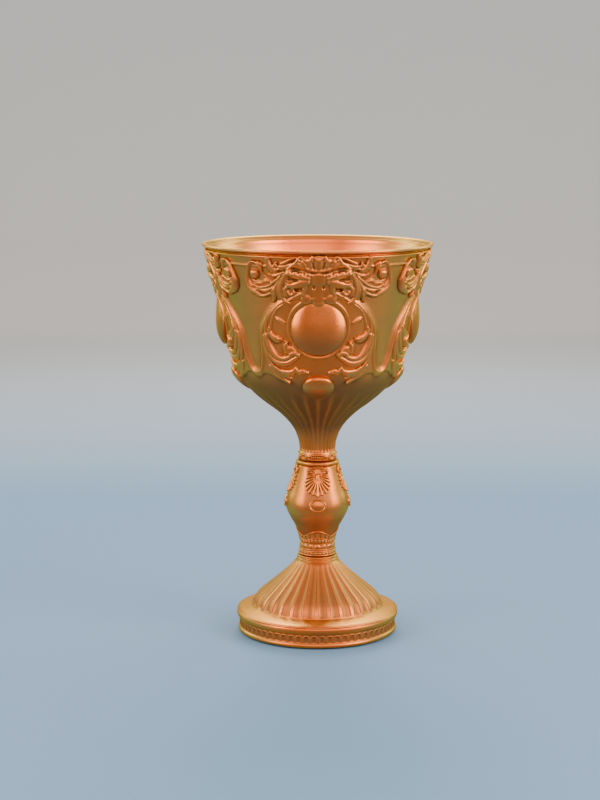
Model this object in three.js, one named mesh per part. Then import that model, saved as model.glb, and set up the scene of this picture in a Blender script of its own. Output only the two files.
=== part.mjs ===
// Cup trophy: a goblet-shaped presentation cup on a fluted trumpet foot.
//
// Every metal piece is threaded on one tie rod. The rod stands in the dished plate under the base, runs up
// through the foot, the knop and the collar, and is nutted in the hub of the bowl. A spun liner closes the
// bowl. The cartouches, bosses, leaves and medallions are thin castings that lie on the turned walls.
//
// Millimetres, +Z up, z = 0 under the felt pad, front = -Y.

import * as THREE from 'three';

// ---- driving dimensions ----------------------------------------------------------------------------------

const CUP_HEIGHT = 300;
const LIP_RADIUS = 87.4;
const BAND_RADIUS = 61.2;          // the arcaded band round the base
const SEAT_GAP = 0.3;              // between faces that touch
const CASTING_GAP = 0.6;           // under a casting that lies on a turned wall
const FOLDS = 4;                   // the ornament repeats at the front, right, back and left

const ROD_RADIUS = 4;              // M8
const ROD_BORE = 4.6;
const SPIGOT_RADIUS = 9;
const SPIGOT_LENGTH = 5;
const SOCKET_RADIUS = SPIGOT_RADIUS + SEAT_GAP;

const BOWL_FOOT_Z = 141.5;         // where the bowl sits on its collar
const HUB_TOP_Z = 160;             // solid hub at the bottom of the bowl shell
const SHELL_TOP_Z = 296.6;
const SHELL_WALL = 1.9;
const LINER_INSET = 2.4;           // outside of the liner, in from the outside of the shell
const LINER_WALL = 1.3;
const LINER_FLOOR_Z = 172.2;

const BOSS_Z = 243;
const BOSS_RADIUS = 20.7;
const BOSS_RISE = 4.2;
const BOSS_EDGE = 0.6;
const DROP_Z = 197;
const DROP_HALF_WIDTH = 11.4;
const DROP_HALF_HEIGHT = 9.5;
const DROP_RISE = 3;
const DROP_EDGE = 0.6;
const CARTOUCHE_RISE = 2.6;
const CARTOUCHE_GAP = 0.9;         // it spans the bend of the bowl, so it stands further off

const KNOP_TOP_Z = 130.3;
const KNOP_FOOT_Z = 69.4;
const KNOP_WALL = 2.6;
const LEAF_RISE = 1.5;
const MEDALLION_Z = 101.7;
const MEDALLION_RISE = 1.5;
const CALYX_THICKNESS = 0.9;

const FOOT_TOP_Z = 60;
const FLANGE_Z = 20.4;             // foot of the fluted cone
const FLUTES = 32;
const FLUTE_DEPTH = 1.1;
const GALLERY_TOP_Z = 16.6;
const GALLERY_FOOT_Z = 1;
const PLATE_Z = 2.4;
const PLATE_RADIUS = 57.9;
const PAD_THICKNESS = 2.1;

const ROUND = 36;                  // facets round the bowl and the base
const STEM_ROUND = 20;             // facets round the stem
const SIDES = ['front', 'right', 'back', 'left'];

// ---- materials -------------------------------------------------------------------------------------------

const metal = (name, color, roughness) =>
  new THREE.MeshStandardMaterial({ name, color, roughness, metalness: 1 });

const COPPER_GOLD = metal('copper_gold', 0xc4813f, 0.34);
const BOWL_INSIDE = metal('bowl_inside', 0xd9986a, 0.28);
const POLISHED = metal('polished_boss', 0xcf8a4c, 0.18);
const STEEL = metal('plain_steel', 0x9a9c9f, 0.45);
const FELT = new THREE.MeshStandardMaterial({
  name: 'black_felt', color: 0x141416, roughness: 0.95, metalness: 0,
});

// ---- the turned walls ------------------------------------------------------------------------------------

const at = (radius, z) => new THREE.Vector2(radius, z);

/** Radius of a turned line at height z. */
function radiusAt(line, z) {
  const upper = line.findIndex((point) => point.y >= z);
  if (upper === -1) return line[line.length - 1].x;
  if (upper === 0) return line[0].x;
  const [low, high] = [line[upper - 1], line[upper]];
  return THREE.MathUtils.mapLinear(z, low.y, high.y, low.x, high.x);
}

// Outside of the bowl without its ornament: a thin fluted neck, a wide funnel and a slowly opening side.
const BOWL_LINE = [
  at(13.8, BOWL_FOOT_Z), at(14.5, 149), at(17.6, 157), at(22.6, 164.5), at(30, 172), at(39.5, 179.5),
  at(49, 187.5), at(56.8, 196), at(61.8, 206), at(66.3, 224), at(70.4, 243), at(76, 268),
  at(83.6, SHELL_TOP_Z),
];

// Outside of the knop: a narrow foot, a belly that is widest at its medallions, and a long shoulder.
const KNOP_LINE = [
  at(12.6, KNOP_FOOT_Z), at(15.7, 80), at(20.2, 88), at(23.6, 94.5), at(24.6, 99.5), at(23.7, 105),
  at(21.4, 111), at(18.2, 121), at(15.6, KNOP_TOP_Z),
];

/** The part of a turned line above z, moved in by `inset`, from the bottom up. */
function insetAbove(line, z, inset) {
  const above = line.filter((point) => point.y > z).map((point) => at(point.x - inset, point.y));
  return [at(radiusAt(line, z) - inset, z), ...above];
}

/** Points of an arc, for beads and rounded edges. Angles in degrees, 0 pointing outwards and 90 up. */
function arc(radius, z, size, from, to, steps) {
  return Array.from({ length: steps + 1 }, (_, i) => {
    const angle = THREE.MathUtils.degToRad(THREE.MathUtils.lerp(from, to, i / steps));
    return at(radius + size * Math.cos(angle), z + size * Math.sin(angle));
  });
}

/** A solid turned about +Z. The profile is a closed ring of [radius, z] points, outside first, going up. */
function turned(profile, facets) {
  const closed = profile[0].x === 0 ? profile : [...profile, profile[0].clone()];
  const geometry = new THREE.LatheGeometry(closed, facets);
  geometry.rotateX(Math.PI / 2);
  return geometry;
}

/** Cuts flutes into a turned geometry: on profile points first to last, every other edge moves in. */
function flute(geometry, profileLength, first, last, count, depth) {
  const position = geometry.attributes.position;
  for (let i = 0; i < position.count; i += 1) {
    const point = i % profileLength;
    if (point < first || point > last) continue;
    const [x, y] = [position.getX(i), position.getY(i)];
    const valley = (1 - Math.cos(count * Math.atan2(x, -y))) / 2;
    const scale = 1 - (depth * valley) / Math.hypot(x, y);
    position.setXY(i, x * scale, y * scale);
  }
  return geometry;
}

// ---- castings that lie on a turned wall ------------------------------------------------------------------

/** Points of an ellipse on a wall, anticlockwise from its right side: x along the wall, y up. */
function ellipse(z, halfWidth, halfHeight, count) {
  return Array.from({ length: count }, (_, i) => {
    const angle = (2 * Math.PI * i) / count;
    return new THREE.Vector2(halfWidth * Math.cos(angle), z + halfHeight * Math.sin(angle));
  });
}

/** A mirrored smooth outline from its right half, given from the bottom point up to the top point. */
function mirroredOutline(rightHalf, count) {
  const right = rightHalf.map(([x, z]) => new THREE.Vector2(x, z));
  const left = right.slice(1, -1).reverse().map((point) => new THREE.Vector2(-point.x, point.y));
  const loop = [...right, ...left].map((point) => new THREE.Vector3(point.x, point.y, 0));
  const curve = new THREE.CatmullRomCurve3(loop, true, 'centripetal');
  return curve.getSpacedPoints(count).slice(0, count).map((point) => new THREE.Vector2(point.x, point.y));
}

/**
 * A casting on a turned wall, centred on the front. Its rows run from the inner outline, or from a single
 * point, to the outer outline, and each row is laid on the wall: x along it at `reach` radius, y up.
 * The back stands `gap` off the wall. The front stands rise(t) further out, t from 0 inside to 1 outside.
 */
function casting({ wall, reach, inner, outer, rows, rise, gap = CASTING_GAP }) {
  const count = outer.length;
  const solid = inner.length > 1;
  const rings = [];
  for (let row = solid ? 0 : 1; row <= rows; row += 1) {
    const t = row / rows;
    rings.push(outer.map((point, i) => ({ place: inner[solid ? i : 0].clone().lerp(point, t), t })));
  }
  const positions = [];
  const addPoint = ({ place, t }, front) => {
    const angle = place.x / reach;
    const radius = radiusAt(wall, place.y) + gap + (front ? rise(t) : 0);
    positions.push(radius * Math.sin(angle), -radius * Math.cos(angle), place.y);
  };
  rings.forEach((ring) => ring.forEach((point) => addPoint(point, true)));
  rings.forEach((ring) => ring.forEach((point) => addPoint(point, false)));

  const backStart = rings.length * count;
  const index = [];
  const quad = (a, b, c, d) => index.push(a, b, c, a, c, d);
  for (let i = 0; i < count; i += 1) {
    const next = (i + 1) % count;
    for (let ring = 0; ring + 1 < rings.length; ring += 1) {
      const [low, high] = [ring * count, (ring + 1) * count];
      quad(low + i, high + i, high + next, low + next);
      quad(backStart + low + i, backStart + low + next, backStart + high + next, backStart + high + i);
    }
    const edge = (rings.length - 1) * count;
    quad(edge + i, backStart + edge + i, backStart + edge + next, edge + next);
    if (solid) quad(next, backStart + next, backStart + i, i);
  }
  if (!solid) {
    const centre = positions.length / 3;
    addPoint({ place: inner[0], t: 0 }, true);
    addPoint({ place: inner[0], t: 0 }, false);
    for (let i = 0; i < count; i += 1) {
      const next = (i + 1) % count;
      index.push(centre, i, next);
      index.push(centre + 1, backStart + next, backStart + i);
    }
  }
  const geometry = new THREE.BufferGeometry();
  geometry.setAttribute('position', new THREE.Float32BufferAttribute(positions, 3));
  geometry.setIndex(index);
  geometry.computeVertexNormals();
  return geometry;
}

// ---- the bowl --------------------------------------------------------------------------------------------

function bowlLiner() {
  const floorRadius = 17;
  const lipSize = 1.15;
  const outside = insetAbove(BOWL_LINE, LINER_FLOOR_Z + 4, LINER_INSET);
  const side = outside.filter((point, i) => i % 2 === 0 || point.y > 260);
  const wallTop = side[side.length - 1];
  const lip = arc(LIP_RADIUS - lipSize, CUP_HEIGHT - lipSize, lipSize, -90, 90, 3);
  const inside = side.map((point) => at(point.x - LINER_WALL, point.y + 0.3)).reverse();
  return turned([
    at(0, LINER_FLOOR_Z), at(floorRadius, LINER_FLOOR_Z), ...side,
    at(wallTop.x, SHELL_TOP_Z + SEAT_GAP), ...lip, at(wallTop.x, CUP_HEIGHT), ...inside,
    at(floorRadius - 1, LINER_FLOOR_Z + LINER_WALL), at(0, LINER_FLOOR_Z + LINER_WALL),
  ], ROUND);
}

function bowlShell() {
  const inside = insetAbove(BOWL_LINE, HUB_TOP_Z + 5, SHELL_WALL).reverse();
  const hubRadius = 15.4;
  const spigotEnd = BOWL_FOOT_Z - SPIGOT_LENGTH;
  return turned([
    at(SPIGOT_RADIUS, spigotEnd), at(SPIGOT_RADIUS, BOWL_FOOT_Z), ...BOWL_LINE, ...inside,
    at(hubRadius, HUB_TOP_Z), at(ROD_BORE, HUB_TOP_Z), at(ROD_BORE, spigotEnd),
  ], ROUND);
}

function rimBead() {
  const size = 0.8;
  const z = 294.9;
  return turned(arc(radiusAt(BOWL_LINE, z + size) + size + CASTING_GAP, z, size, -150, 150, 5), ROUND);
}

const CARTOUCHE_REACH = 75;
const CARTOUCHE_POINTS = 30;

function cartouche() {
  const seat = BOSS_RADIUS + SEAT_GAP;
  const acrossScale = CARTOUCHE_REACH / radiusAt(BOWL_LINE, BOSS_Z);
  const bezel = ellipse(BOSS_Z, seat * acrossScale, seat, CARTOUCHE_POINTS);
  const rightHalf = [
    [0, 210.5], [14, 208.5], [21, 204.5], [28, 200.5], [36, 206], [44, 216], [48, 230], [46, 243],
    [39, 254], [32, 263], [38, 266], [47, 267], [53, 276], [53, 284], [46, 291], [38, 291],
    [30, 292.3], [14, 293.2], [0, 293.2],
  ];
  const outline = mirroredOutline(rightHalf, CARTOUCHE_POINTS);
  const start = outline.reduce((best, point, i) => {
    const angle = Math.abs(Math.atan2(point.y - BOSS_Z, point.x));
    return angle < best.angle ? { angle, i } : best;
  }, { angle: Infinity, i: 0 }).i;
  const outer = [...outline.slice(start), ...outline.slice(0, start)];
  const rise = (t) => CARTOUCHE_RISE - 0.9 * t;
  return casting({
    wall: BOWL_LINE, reach: CARTOUCHE_REACH, inner: bezel, outer, rows: 3, rise, gap: CARTOUCHE_GAP,
  });
}

/** Height of a round dome at t of the way from its middle to its edge. */
const dome = (t, rise, edge) => edge + (rise - edge) * Math.sqrt(1 - t * t);

function boss() {
  const reach = radiusAt(BOWL_LINE, BOSS_Z);
  const outer = ellipse(BOSS_Z, BOSS_RADIUS, BOSS_RADIUS, 18);
  const rise = (t) => dome(t, BOSS_RISE, BOSS_EDGE);
  return casting({ wall: BOWL_LINE, reach, inner: [at(0, BOSS_Z)], outer, rows: 3, rise });
}

function drop() {
  const reach = radiusAt(BOWL_LINE, DROP_Z);
  const outer = ellipse(DROP_Z, DROP_HALF_WIDTH, DROP_HALF_HEIGHT, 16);
  const rise = (t) => dome(t, DROP_RISE, DROP_EDGE);
  return casting({ wall: BOWL_LINE, reach, inner: [at(0, DROP_Z)], outer, rows: 2, rise });
}

// ---- the collar and the knop -----------------------------------------------------------------------------

function collarGallery() {
  const foot = 134.2;
  const top = BOWL_FOOT_Z - SEAT_GAP;
  const [edge, belly] = [14, 15.4];
  const webTop = BOWL_FOOT_Z - SPIGOT_LENGTH - SEAT_GAP;
  const webFoot = webTop - 0.5;
  return turned([
    at(SOCKET_RADIUS, foot), at(edge, foot), at(belly, 136), at(belly, 139.4), at(edge, top),
    at(SOCKET_RADIUS, top), at(SOCKET_RADIUS, webTop), at(ROD_BORE, webTop), at(ROD_BORE, webFoot),
    at(SOCKET_RADIUS, webFoot),
  ], STEM_ROUND);
}

function collarRing() {
  const foot = KNOP_TOP_Z + SEAT_GAP;
  const size = 1.6;
  const bulge = arc(15.7, foot + size, size, -90, 90, 4);
  return turned([at(SOCKET_RADIUS, foot), ...bulge, at(SOCKET_RADIUS, foot + 2 * size)], STEM_ROUND);
}

function knop() {
  const spigotTop = 135.3;
  const [cavityFoot, cavityTop] = [KNOP_FOOT_Z + 9, KNOP_TOP_Z - 6];
  const belly = insetAbove(KNOP_LINE, cavityFoot, KNOP_WALL).filter((point) => point.y < cavityTop);
  const inside = belly.reverse();
  return turned([
    ...KNOP_LINE, at(SPIGOT_RADIUS, KNOP_TOP_Z), at(SPIGOT_RADIUS, spigotTop), at(ROD_BORE, spigotTop),
    at(ROD_BORE, cavityTop), ...inside, at(ROD_BORE, cavityFoot - 3), at(ROD_BORE, KNOP_FOOT_Z),
  ], STEM_ROUND);
}

const KNOP_REACH = 20;

function knopLeaf() {
  const rightHalf = [[0, 108.6], [4.2, 112], [7, 117], [9, 123], [9.2, 128.4], [0, 129.6]];
  const outer = mirroredOutline(rightHalf, 16);
  const rise = (t) => LEAF_RISE - 0.8 * t;
  return casting({ wall: KNOP_LINE, reach: KNOP_REACH, inner: [at(0, 121)], outer, rows: 2, rise });
}

function knopMedallion() {
  const outer = ellipse(MEDALLION_Z, 6, 5, 12);
  const rise = (t) => MEDALLION_RISE - 0.5 * t * t;
  const reach = radiusAt(KNOP_LINE, MEDALLION_Z);
  return casting({ wall: KNOP_LINE, reach, inner: [at(0, MEDALLION_Z)], outer, rows: 2, rise });
}

/** Leaf cup round the foot of the knop: its upper edge rises to a point at each side of the cup. */
function knopCalyx() {
  const loop = (height) => Array.from({ length: STEM_ROUND }, (_, i) => {
    const angle = (-2 * Math.PI * i) / STEM_ROUND;
    return new THREE.Vector2(angle * KNOP_REACH, height(angle));
  });
  const lower = loop(() => KNOP_FOOT_Z + 0.4);
  const upper = loop((angle) => 74.6 + 5.6 * Math.abs(Math.cos((FOLDS / 2) * angle)) ** 2);
  const rise = () => CALYX_THICKNESS;
  return casting({ wall: KNOP_LINE, reach: KNOP_REACH, inner: lower, outer: upper, rows: 3, rise });
}

// ---- the stem rings and the foot -------------------------------------------------------------------------

function stemBead(footZ, height, radius) {
  const size = height / 2;
  const bulge = arc(radius - size, footZ + size, size, -90, 90, 4);
  return turned([at(ROD_BORE, footZ), ...bulge, at(ROD_BORE, footZ + height)], STEM_ROUND);
}

/** Fluted trumpet: flat flange, steep fluted cone, and a plain neck that the stem rings stand on. */
function foot() {
  const edge = BAND_RADIUS + 0.7;
  const wall = 2;
  const spigot = 57.4;
  const spigotFoot = 13.4;
  const seat = GALLERY_TOP_Z + SEAT_GAP;
  const flange = [at(spigot, spigotFoot), at(spigot, seat), at(edge, seat), at(50.4, FLANGE_Z - 0.6)];
  const cone = [at(49.6, FLANGE_Z + 1.6), at(44.7, 30), at(27.8, 44), at(19.4, 52)];
  const neck = [at(15, 57), at(14.2, FOOT_TOP_Z), at(ROD_BORE, FOOT_TOP_Z), at(ROD_BORE, 52)];
  const inside = [at(15.2, 50), at(42, 26.5), at(spigot - wall, spigotFoot)];
  const profile = [...flange, ...cone, ...neck, ...inside];
  const firstFluted = flange.length;
  const lastFluted = flange.length + cone.length - 1;
  return flute(turned(profile, 2 * FLUTES), profile.length + 1, firstFluted, lastFluted, FLUTES, FLUTE_DEPTH);
}

/** Base ring: a band between an upper and a lower bead, with a ledge inside that the base plate bears on. */
function footGallery() {
  const upper = arc(BAND_RADIUS, GALLERY_TOP_Z - 1.95, 1.95, -70, 90, 3);
  const lower = arc(BAND_RADIUS - 0.9, GALLERY_FOOT_Z + 1.1, 1.1, -90, 60, 2);
  const band = [at(BAND_RADIUS - 0.8, GALLERY_FOOT_Z + 3), at(BAND_RADIUS - 0.8, 12.2)];
  const footSocket = [at(57.8, GALLERY_TOP_Z), at(57.8, 12.8)];
  const ledge = [at(55, 12.8), at(55, 5), at(PLATE_RADIUS + 0.4, 5), at(PLATE_RADIUS + 0.4, GALLERY_FOOT_Z)];
  return turned([...lower, ...band, ...upper, ...footSocket, ...ledge], ROUND);
}

// ---- the fastening ---------------------------------------------------------------------------------------

const WASHER_RADIUS = 8;
const NUT_FLATS = 13;              // M8 nut across its flats
const NUT_HEIGHT = 6.5;
const DISH_CEILING_Z = 12.4;       // underside of the dish in the base plate
const WASHER_THICKNESS = 1.5;

/** Dished plate: a flat rim under the gallery's ledge, and a raised middle that hides the nut. */
function basePlate() {
  const sheet = 2.3;
  const rimTop = PLATE_Z + sheet;
  const dishTop = DISH_CEILING_Z + sheet;
  return turned([
    at(19, PLATE_Z), at(PLATE_RADIUS, PLATE_Z), at(PLATE_RADIUS, rimTop), at(20.5, rimTop), at(18, dishTop),
    at(ROD_BORE, dishTop), at(ROD_BORE, DISH_CEILING_Z), at(16, DISH_CEILING_Z),
  ], 28);
}

function tieRod() {
  const [low, high] = [2.6, 170.6];
  return turned([at(0, low), at(ROD_RADIUS, low), at(ROD_RADIUS, high), at(0, high)], 16);
}

function washer(footZ) {
  const top = footZ + WASHER_THICKNESS;
  return turned([
    at(ROD_BORE, footZ), at(WASHER_RADIUS, footZ), at(WASHER_RADIUS, top), at(ROD_BORE, top),
  ], STEM_ROUND);
}

function nut(footZ) {
  const outline = new THREE.Shape();
  const corner = NUT_FLATS / Math.sqrt(3);
  for (let i = 0; i < 6; i += 1) {
    const [x, y] = [corner * Math.cos((i * Math.PI) / 3), corner * Math.sin((i * Math.PI) / 3)];
    if (i === 0) outline.moveTo(x, y);
    else outline.lineTo(x, y);
  }
  outline.closePath();
  const bore = new THREE.Path().absarc(0, 0, ROD_RADIUS + SEAT_GAP, 0, 2 * Math.PI, true);
  outline.holes.push(bore);
  const options = { depth: NUT_HEIGHT, bevelEnabled: false, curveSegments: 8 };
  return new THREE.ExtrudeGeometry(outline, options).translate(0, 0, footZ);
}

function basePad() {
  const radius = 57.4;
  return turned([at(0, 0), at(radius, 0), at(radius, PAD_THICKNESS), at(0, PAD_THICKNESS)], 28);
}

// ---- assembly --------------------------------------------------------------------------------------------

const trophy = new THREE.Group();

function add(name, geometry, material) {
  const mesh = new THREE.Mesh(geometry, material);
  mesh.name = name;
  trophy.add(mesh);
  return mesh;
}

/** One casting at each side of the cup, turned round from the front. */
function addRound(name, geometry, material) {
  SIDES.forEach((side, i) => {
    add(`${name}_${side}`, geometry, material).rotation.z = (2 * Math.PI * i) / FOLDS;
  });
}

add('bowl_liner', bowlLiner(), BOWL_INSIDE);
add('bowl_shell', bowlShell(), COPPER_GOLD);
add('rim_bead', rimBead(), COPPER_GOLD);
addRound('cartouche', cartouche(), COPPER_GOLD);
addRound('boss', boss(), POLISHED);
addRound('drop', drop(), POLISHED);

add('collar_gallery', collarGallery(), COPPER_GOLD);
add('collar_ring', collarRing(), COPPER_GOLD);
add('knop', knop(), COPPER_GOLD);
addRound('knop_leaf', knopLeaf(), COPPER_GOLD);
addRound('knop_medallion', knopMedallion(), POLISHED);
add('knop_calyx', knopCalyx(), COPPER_GOLD);

add('stem_bead_upper', stemBead(64.7, 4.4, 13.9), COPPER_GOLD);
add('stem_bead_lower', stemBead(60.3, 4.1, 14.4), COPPER_GOLD);
add('foot', foot(), COPPER_GOLD);
add('foot_gallery', footGallery(), COPPER_GOLD);

add('tie_rod', tieRod(), STEEL);
add('top_washer', washer(HUB_TOP_Z + SEAT_GAP), STEEL);
add('top_nut', nut(HUB_TOP_Z + WASHER_THICKNESS + 2 * SEAT_GAP), STEEL);
add('base_plate', basePlate(), STEEL);
add('bottom_washer', washer(DISH_CEILING_Z - SEAT_GAP - WASHER_THICKNESS), STEEL);
add('bottom_nut', nut(DISH_CEILING_Z - 2 * SEAT_GAP - WASHER_THICKNESS - NUT_HEIGHT), STEEL);
add('base_pad', basePad(), FELT);

export default trophy;
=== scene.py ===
"""Cup trophy: the finished looks of a goblet-shaped presentation cup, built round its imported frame.

The turned walls are grids of angle by height. The ornament is a relief: a height in millimetres above the
wall, worked out on a grid from strands, leaves, volutes and domes, and laid on the wall it belongs to.
All shapes are worked out in millimetres and put into the meshes in metres.
"""
import math

import bpy
import numpy as np
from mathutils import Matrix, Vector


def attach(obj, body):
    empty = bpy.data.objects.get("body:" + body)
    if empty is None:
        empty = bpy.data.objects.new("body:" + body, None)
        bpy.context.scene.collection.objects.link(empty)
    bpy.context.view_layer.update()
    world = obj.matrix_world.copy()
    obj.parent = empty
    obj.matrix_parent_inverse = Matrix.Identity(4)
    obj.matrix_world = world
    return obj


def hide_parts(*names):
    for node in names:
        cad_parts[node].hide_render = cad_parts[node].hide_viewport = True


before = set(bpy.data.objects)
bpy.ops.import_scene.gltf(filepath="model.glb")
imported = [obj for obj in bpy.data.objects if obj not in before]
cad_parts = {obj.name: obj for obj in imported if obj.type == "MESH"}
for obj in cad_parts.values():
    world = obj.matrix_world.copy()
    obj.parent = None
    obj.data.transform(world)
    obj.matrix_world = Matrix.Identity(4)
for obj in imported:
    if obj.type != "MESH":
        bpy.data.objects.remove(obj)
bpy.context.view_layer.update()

MM = 0.001
SIDES = ("front", "right", "back", "left")
QUARTER = math.pi / 2
PLAIN = 0.5                        # the hollow attribute where there is neither polish, patina nor painted shade
ROD_BORE = 4.6                     # radius of the hole for the tie rod, and of the sockets round it:
SOCKET = 9.3


# ---- curves and turned walls ---------------------------------------------------------------------

def smooth_path(points, per_span=12, closed=False):
    """A smooth curve through points: on each span, a cubic whose slopes at both ends follow the
    neighbours."""
    points = np.asarray(points, float)
    if closed:
        before, after = points[-1:], points[:2]
    else:
        before, after = 2 * points[:1] - points[1:2], 2 * points[-1:] - points[-2:-1]
    run = np.concatenate([before, points, after])
    spans = len(points) if closed else len(points) - 1
    t = np.arange(per_span)[None, :, None] / per_span
    a, b, c, d = (run[k:k + spans, None, :] for k in range(4))
    slope_b, slope_c = (c - a) / 2, (d - b) / 2
    curve = ((2 * t**3 - 3 * t**2 + 1) * b + (t**3 - 2 * t**2 + t) * slope_b
             + (3 * t**2 - 2 * t**3) * c + (t**3 - t**2) * slope_c)
    curve = curve.reshape(-1, points.shape[1])
    return curve if closed else np.concatenate([curve, points[-1:]])


class Wall:
    """A turned wall: its radius at any height, from a smooth curve through (radius, z) stations."""

    def __init__(self, stations):
        path = smooth_path(stations, 16)
        self.radii, self.heights = path[:, 0], path[:, 1]

    def radius(self, z):
        return np.interp(z, self.heights, self.radii)


BOWL = Wall([(13.6, 140.5), (13.9, 144.5), (14.6, 149), (17.6, 157), (22.9, 164.5), (30.7, 172),
             (40.7, 179.5),
             (50.0, 187.5), (56.7, 195.5), (61.4, 205), (64, 214), (66.4, 224.5), (70.9, 245), (76, 268),
             (79.9, 283), (83.6, 296.6)])
KNOP = Wall([(12.6, 69.4), (13.7, 74.5), (15.7, 80), (20.2, 88), (23.4, 94.5), (24.6, 100), (23.7, 105.5),
             (21.4, 111.5), (18.6, 120), (16.4, 127), (15.6, 130.3)])


def on_wall(radius, angle, z):
    """Points at an angle from the front, in metres: x = r sin(angle), y = -r cos(angle)."""
    radius, angle, z = np.broadcast_arrays(radius, angle, z)
    return np.stack([radius * np.sin(angle), -radius * np.cos(angle), z], axis=-1) * MM


# ---- meshes --------------------------------------------------------------------------------------

def new_piece(name, vertices, face_sets, finish, hollow=None):
    """A mesh object from an array of vertices and arrays of faces, shaded smooth, riding on the one
    body. It takes the place of the node of the same name. A finish is a material with its slot. The
    `hollow` attribute tells the metal where it is: 0 on the high places, 0.5 plain, 1 in the
    hollows, where it darkens with patina and painted shade; undersides and the lower halves of domes
    carry painted shade in it too."""
    node, (material, slot) = name, finish
    corners = np.concatenate([np.full(len(faces), faces.shape[1]) for faces in face_sets])
    loops = np.concatenate([faces.ravel() for faces in face_sets]).astype(np.int32)
    mesh = bpy.data.meshes.new(name)
    mesh.vertices.add(len(vertices))
    mesh.vertices.foreach_set("co", np.asarray(vertices, np.float32).ravel())
    mesh.loops.add(len(loops))
    mesh.loops.foreach_set("vertex_index", loops)
    mesh.polygons.add(len(corners))
    mesh.polygons.foreach_set("loop_start", (np.cumsum(corners) - corners).astype(np.int32))
    mesh.update(calc_edges=True)
    mesh.shade_smooth()
    if hollow is None:
        hollow = np.full(len(vertices), PLAIN)
    attribute = mesh.attributes.new("hollow", "FLOAT", "POINT")
    attribute.data.foreach_set("value", hollow.ravel().astype(np.float32))
    mesh.materials.append(material)
    piece = bpy.data.objects.new(name, mesh)
    bpy.context.scene.collection.objects.link(piece)
    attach(piece, "root")
    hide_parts(node)
    return piece


def grid_faces(rows, columns, wrap_rows=False, wrap_columns=False):
    """Quads of a grid of rows by columns, vertex (i, j) being i * columns + j. A wrapped side closes."""
    i = np.arange(rows if wrap_rows else rows - 1)[:, None]
    j = np.arange(columns if wrap_columns else columns - 1)[None, :]
    up, across = (i + 1) % rows, (j + 1) % columns
    quads = np.stack(np.broadcast_arrays(i * columns + j, i * columns + across,
                                         up * columns + across, up * columns + j), axis=-1)
    return quads.reshape(-1, 4)


def ring_surface(name, radius, angle, z, finish, hollow=None):
    """A closed ring: its section runs up the outside and down the inside (rows), and wraps round the
    axis."""
    radius, angle, z = np.broadcast_arrays(radius, angle, z)
    faces = grid_faces(*radius.shape, wrap_rows=True, wrap_columns=True)
    return new_piece(name, on_wall(radius, angle, z).reshape(-1, 3), [faces], finish, hollow)


def all_round(columns):
    """Evenly spaced angles round the axis, as one row of a grid."""
    return np.arange(columns)[None, :] * (2 * math.pi / columns)


def turned_ring(name, section, columns, finish):
    """A ring whose (radius, z) section is the same all the way round."""
    section = np.asarray(section, float)
    return ring_surface(name, section[:, :1], all_round(columns), section[:, 1:], finish)


def capped_surface(name, rings, first_pole, last_pole, finish, hollow=None):
    """A closed body from rings of points between two poles, each pole joined to its ring by a fan."""
    rows, columns = rings.shape[:2]
    j = np.arange(columns)
    after = (j + 1) % columns
    top = (rows - 1) * columns
    first_fan = np.stack([np.full(columns, rows * columns), after, j], axis=1)
    last_fan = np.stack([top + j, top + after, np.full(columns, rows * columns + 1)], axis=1)
    vertices = np.concatenate([rings.reshape(-1, 3), [first_pole, last_pole]])
    faces = [grid_faces(rows, columns, wrap_columns=True), first_fan, last_fan]
    return new_piece(name, vertices, faces, finish, hollow)


def turned_solid(name, section, columns, finish):
    """A turned body without a bore: its (radius, z) section starts and ends on the axis."""
    section = np.asarray(section, float)
    rings = on_wall(section[1:-1, :1], all_round(columns), section[1:-1, 1:])
    poles = on_wall(section[[0, -1], 0], 0.0, section[[0, -1], 1])
    return capped_surface(name, rings, poles[0], poles[1], finish)


PAINTED_SHADE_LINE = (0.25, -0.6)        # v where the painted shade on a dome's lower half starts, and where it is full


def disc_on_wall(name, wall, centre_z, radii, front, angle, back=0.4, rings=28, columns=96, tarnish=0.0):
    """A round or oval casting laid on a turned wall. front(u, v) is its height above the wall: u runs
    from 0 in the middle to 1 at the edge, and v from -1 at the bottom to 1 at the top.
    tarnish darkens its lower half by that much of the hollow attribute: a painted
    shade where the dome turns down."""
    reach = wall.radius(centre_z)
    out = np.sin(np.linspace(0, QUARTER, rings))[1:, None]
    turn = all_round(columns)
    x, v = out * np.cos(turn), out * np.sin(turn)
    z = centre_z + radii[1] * v
    around = angle + radii[0] * x / reach
    face = on_wall(wall.radius(z) + front(np.broadcast_to(out, v.shape), v), around, z)
    behind = on_wall(wall.radius(z) + back, around, z)
    rows = np.concatenate([behind[[0, rings // 2, -1]], face[::-1]])
    middle = wall.radius(centre_z)
    poles = on_wall(np.array([middle + back, middle + float(front(0.0, 0.0))]), angle, centre_z)
    # Painted shade on the lower half, where the dome turns down.
    low = np.broadcast_to(smoothstep(*PAINTED_SHADE_LINE, v)[::-1], face.shape[:2])
    in_the_middle = smoothstep(*PAINTED_SHADE_LINE, 0)
    low = np.concatenate([np.zeros(3 * columns), low.ravel(), [0, in_the_middle]])
    return capped_surface(name, rows, poles[0], poles[1], POLISHED_BOSS, PLAIN + tarnish * low)


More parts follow.
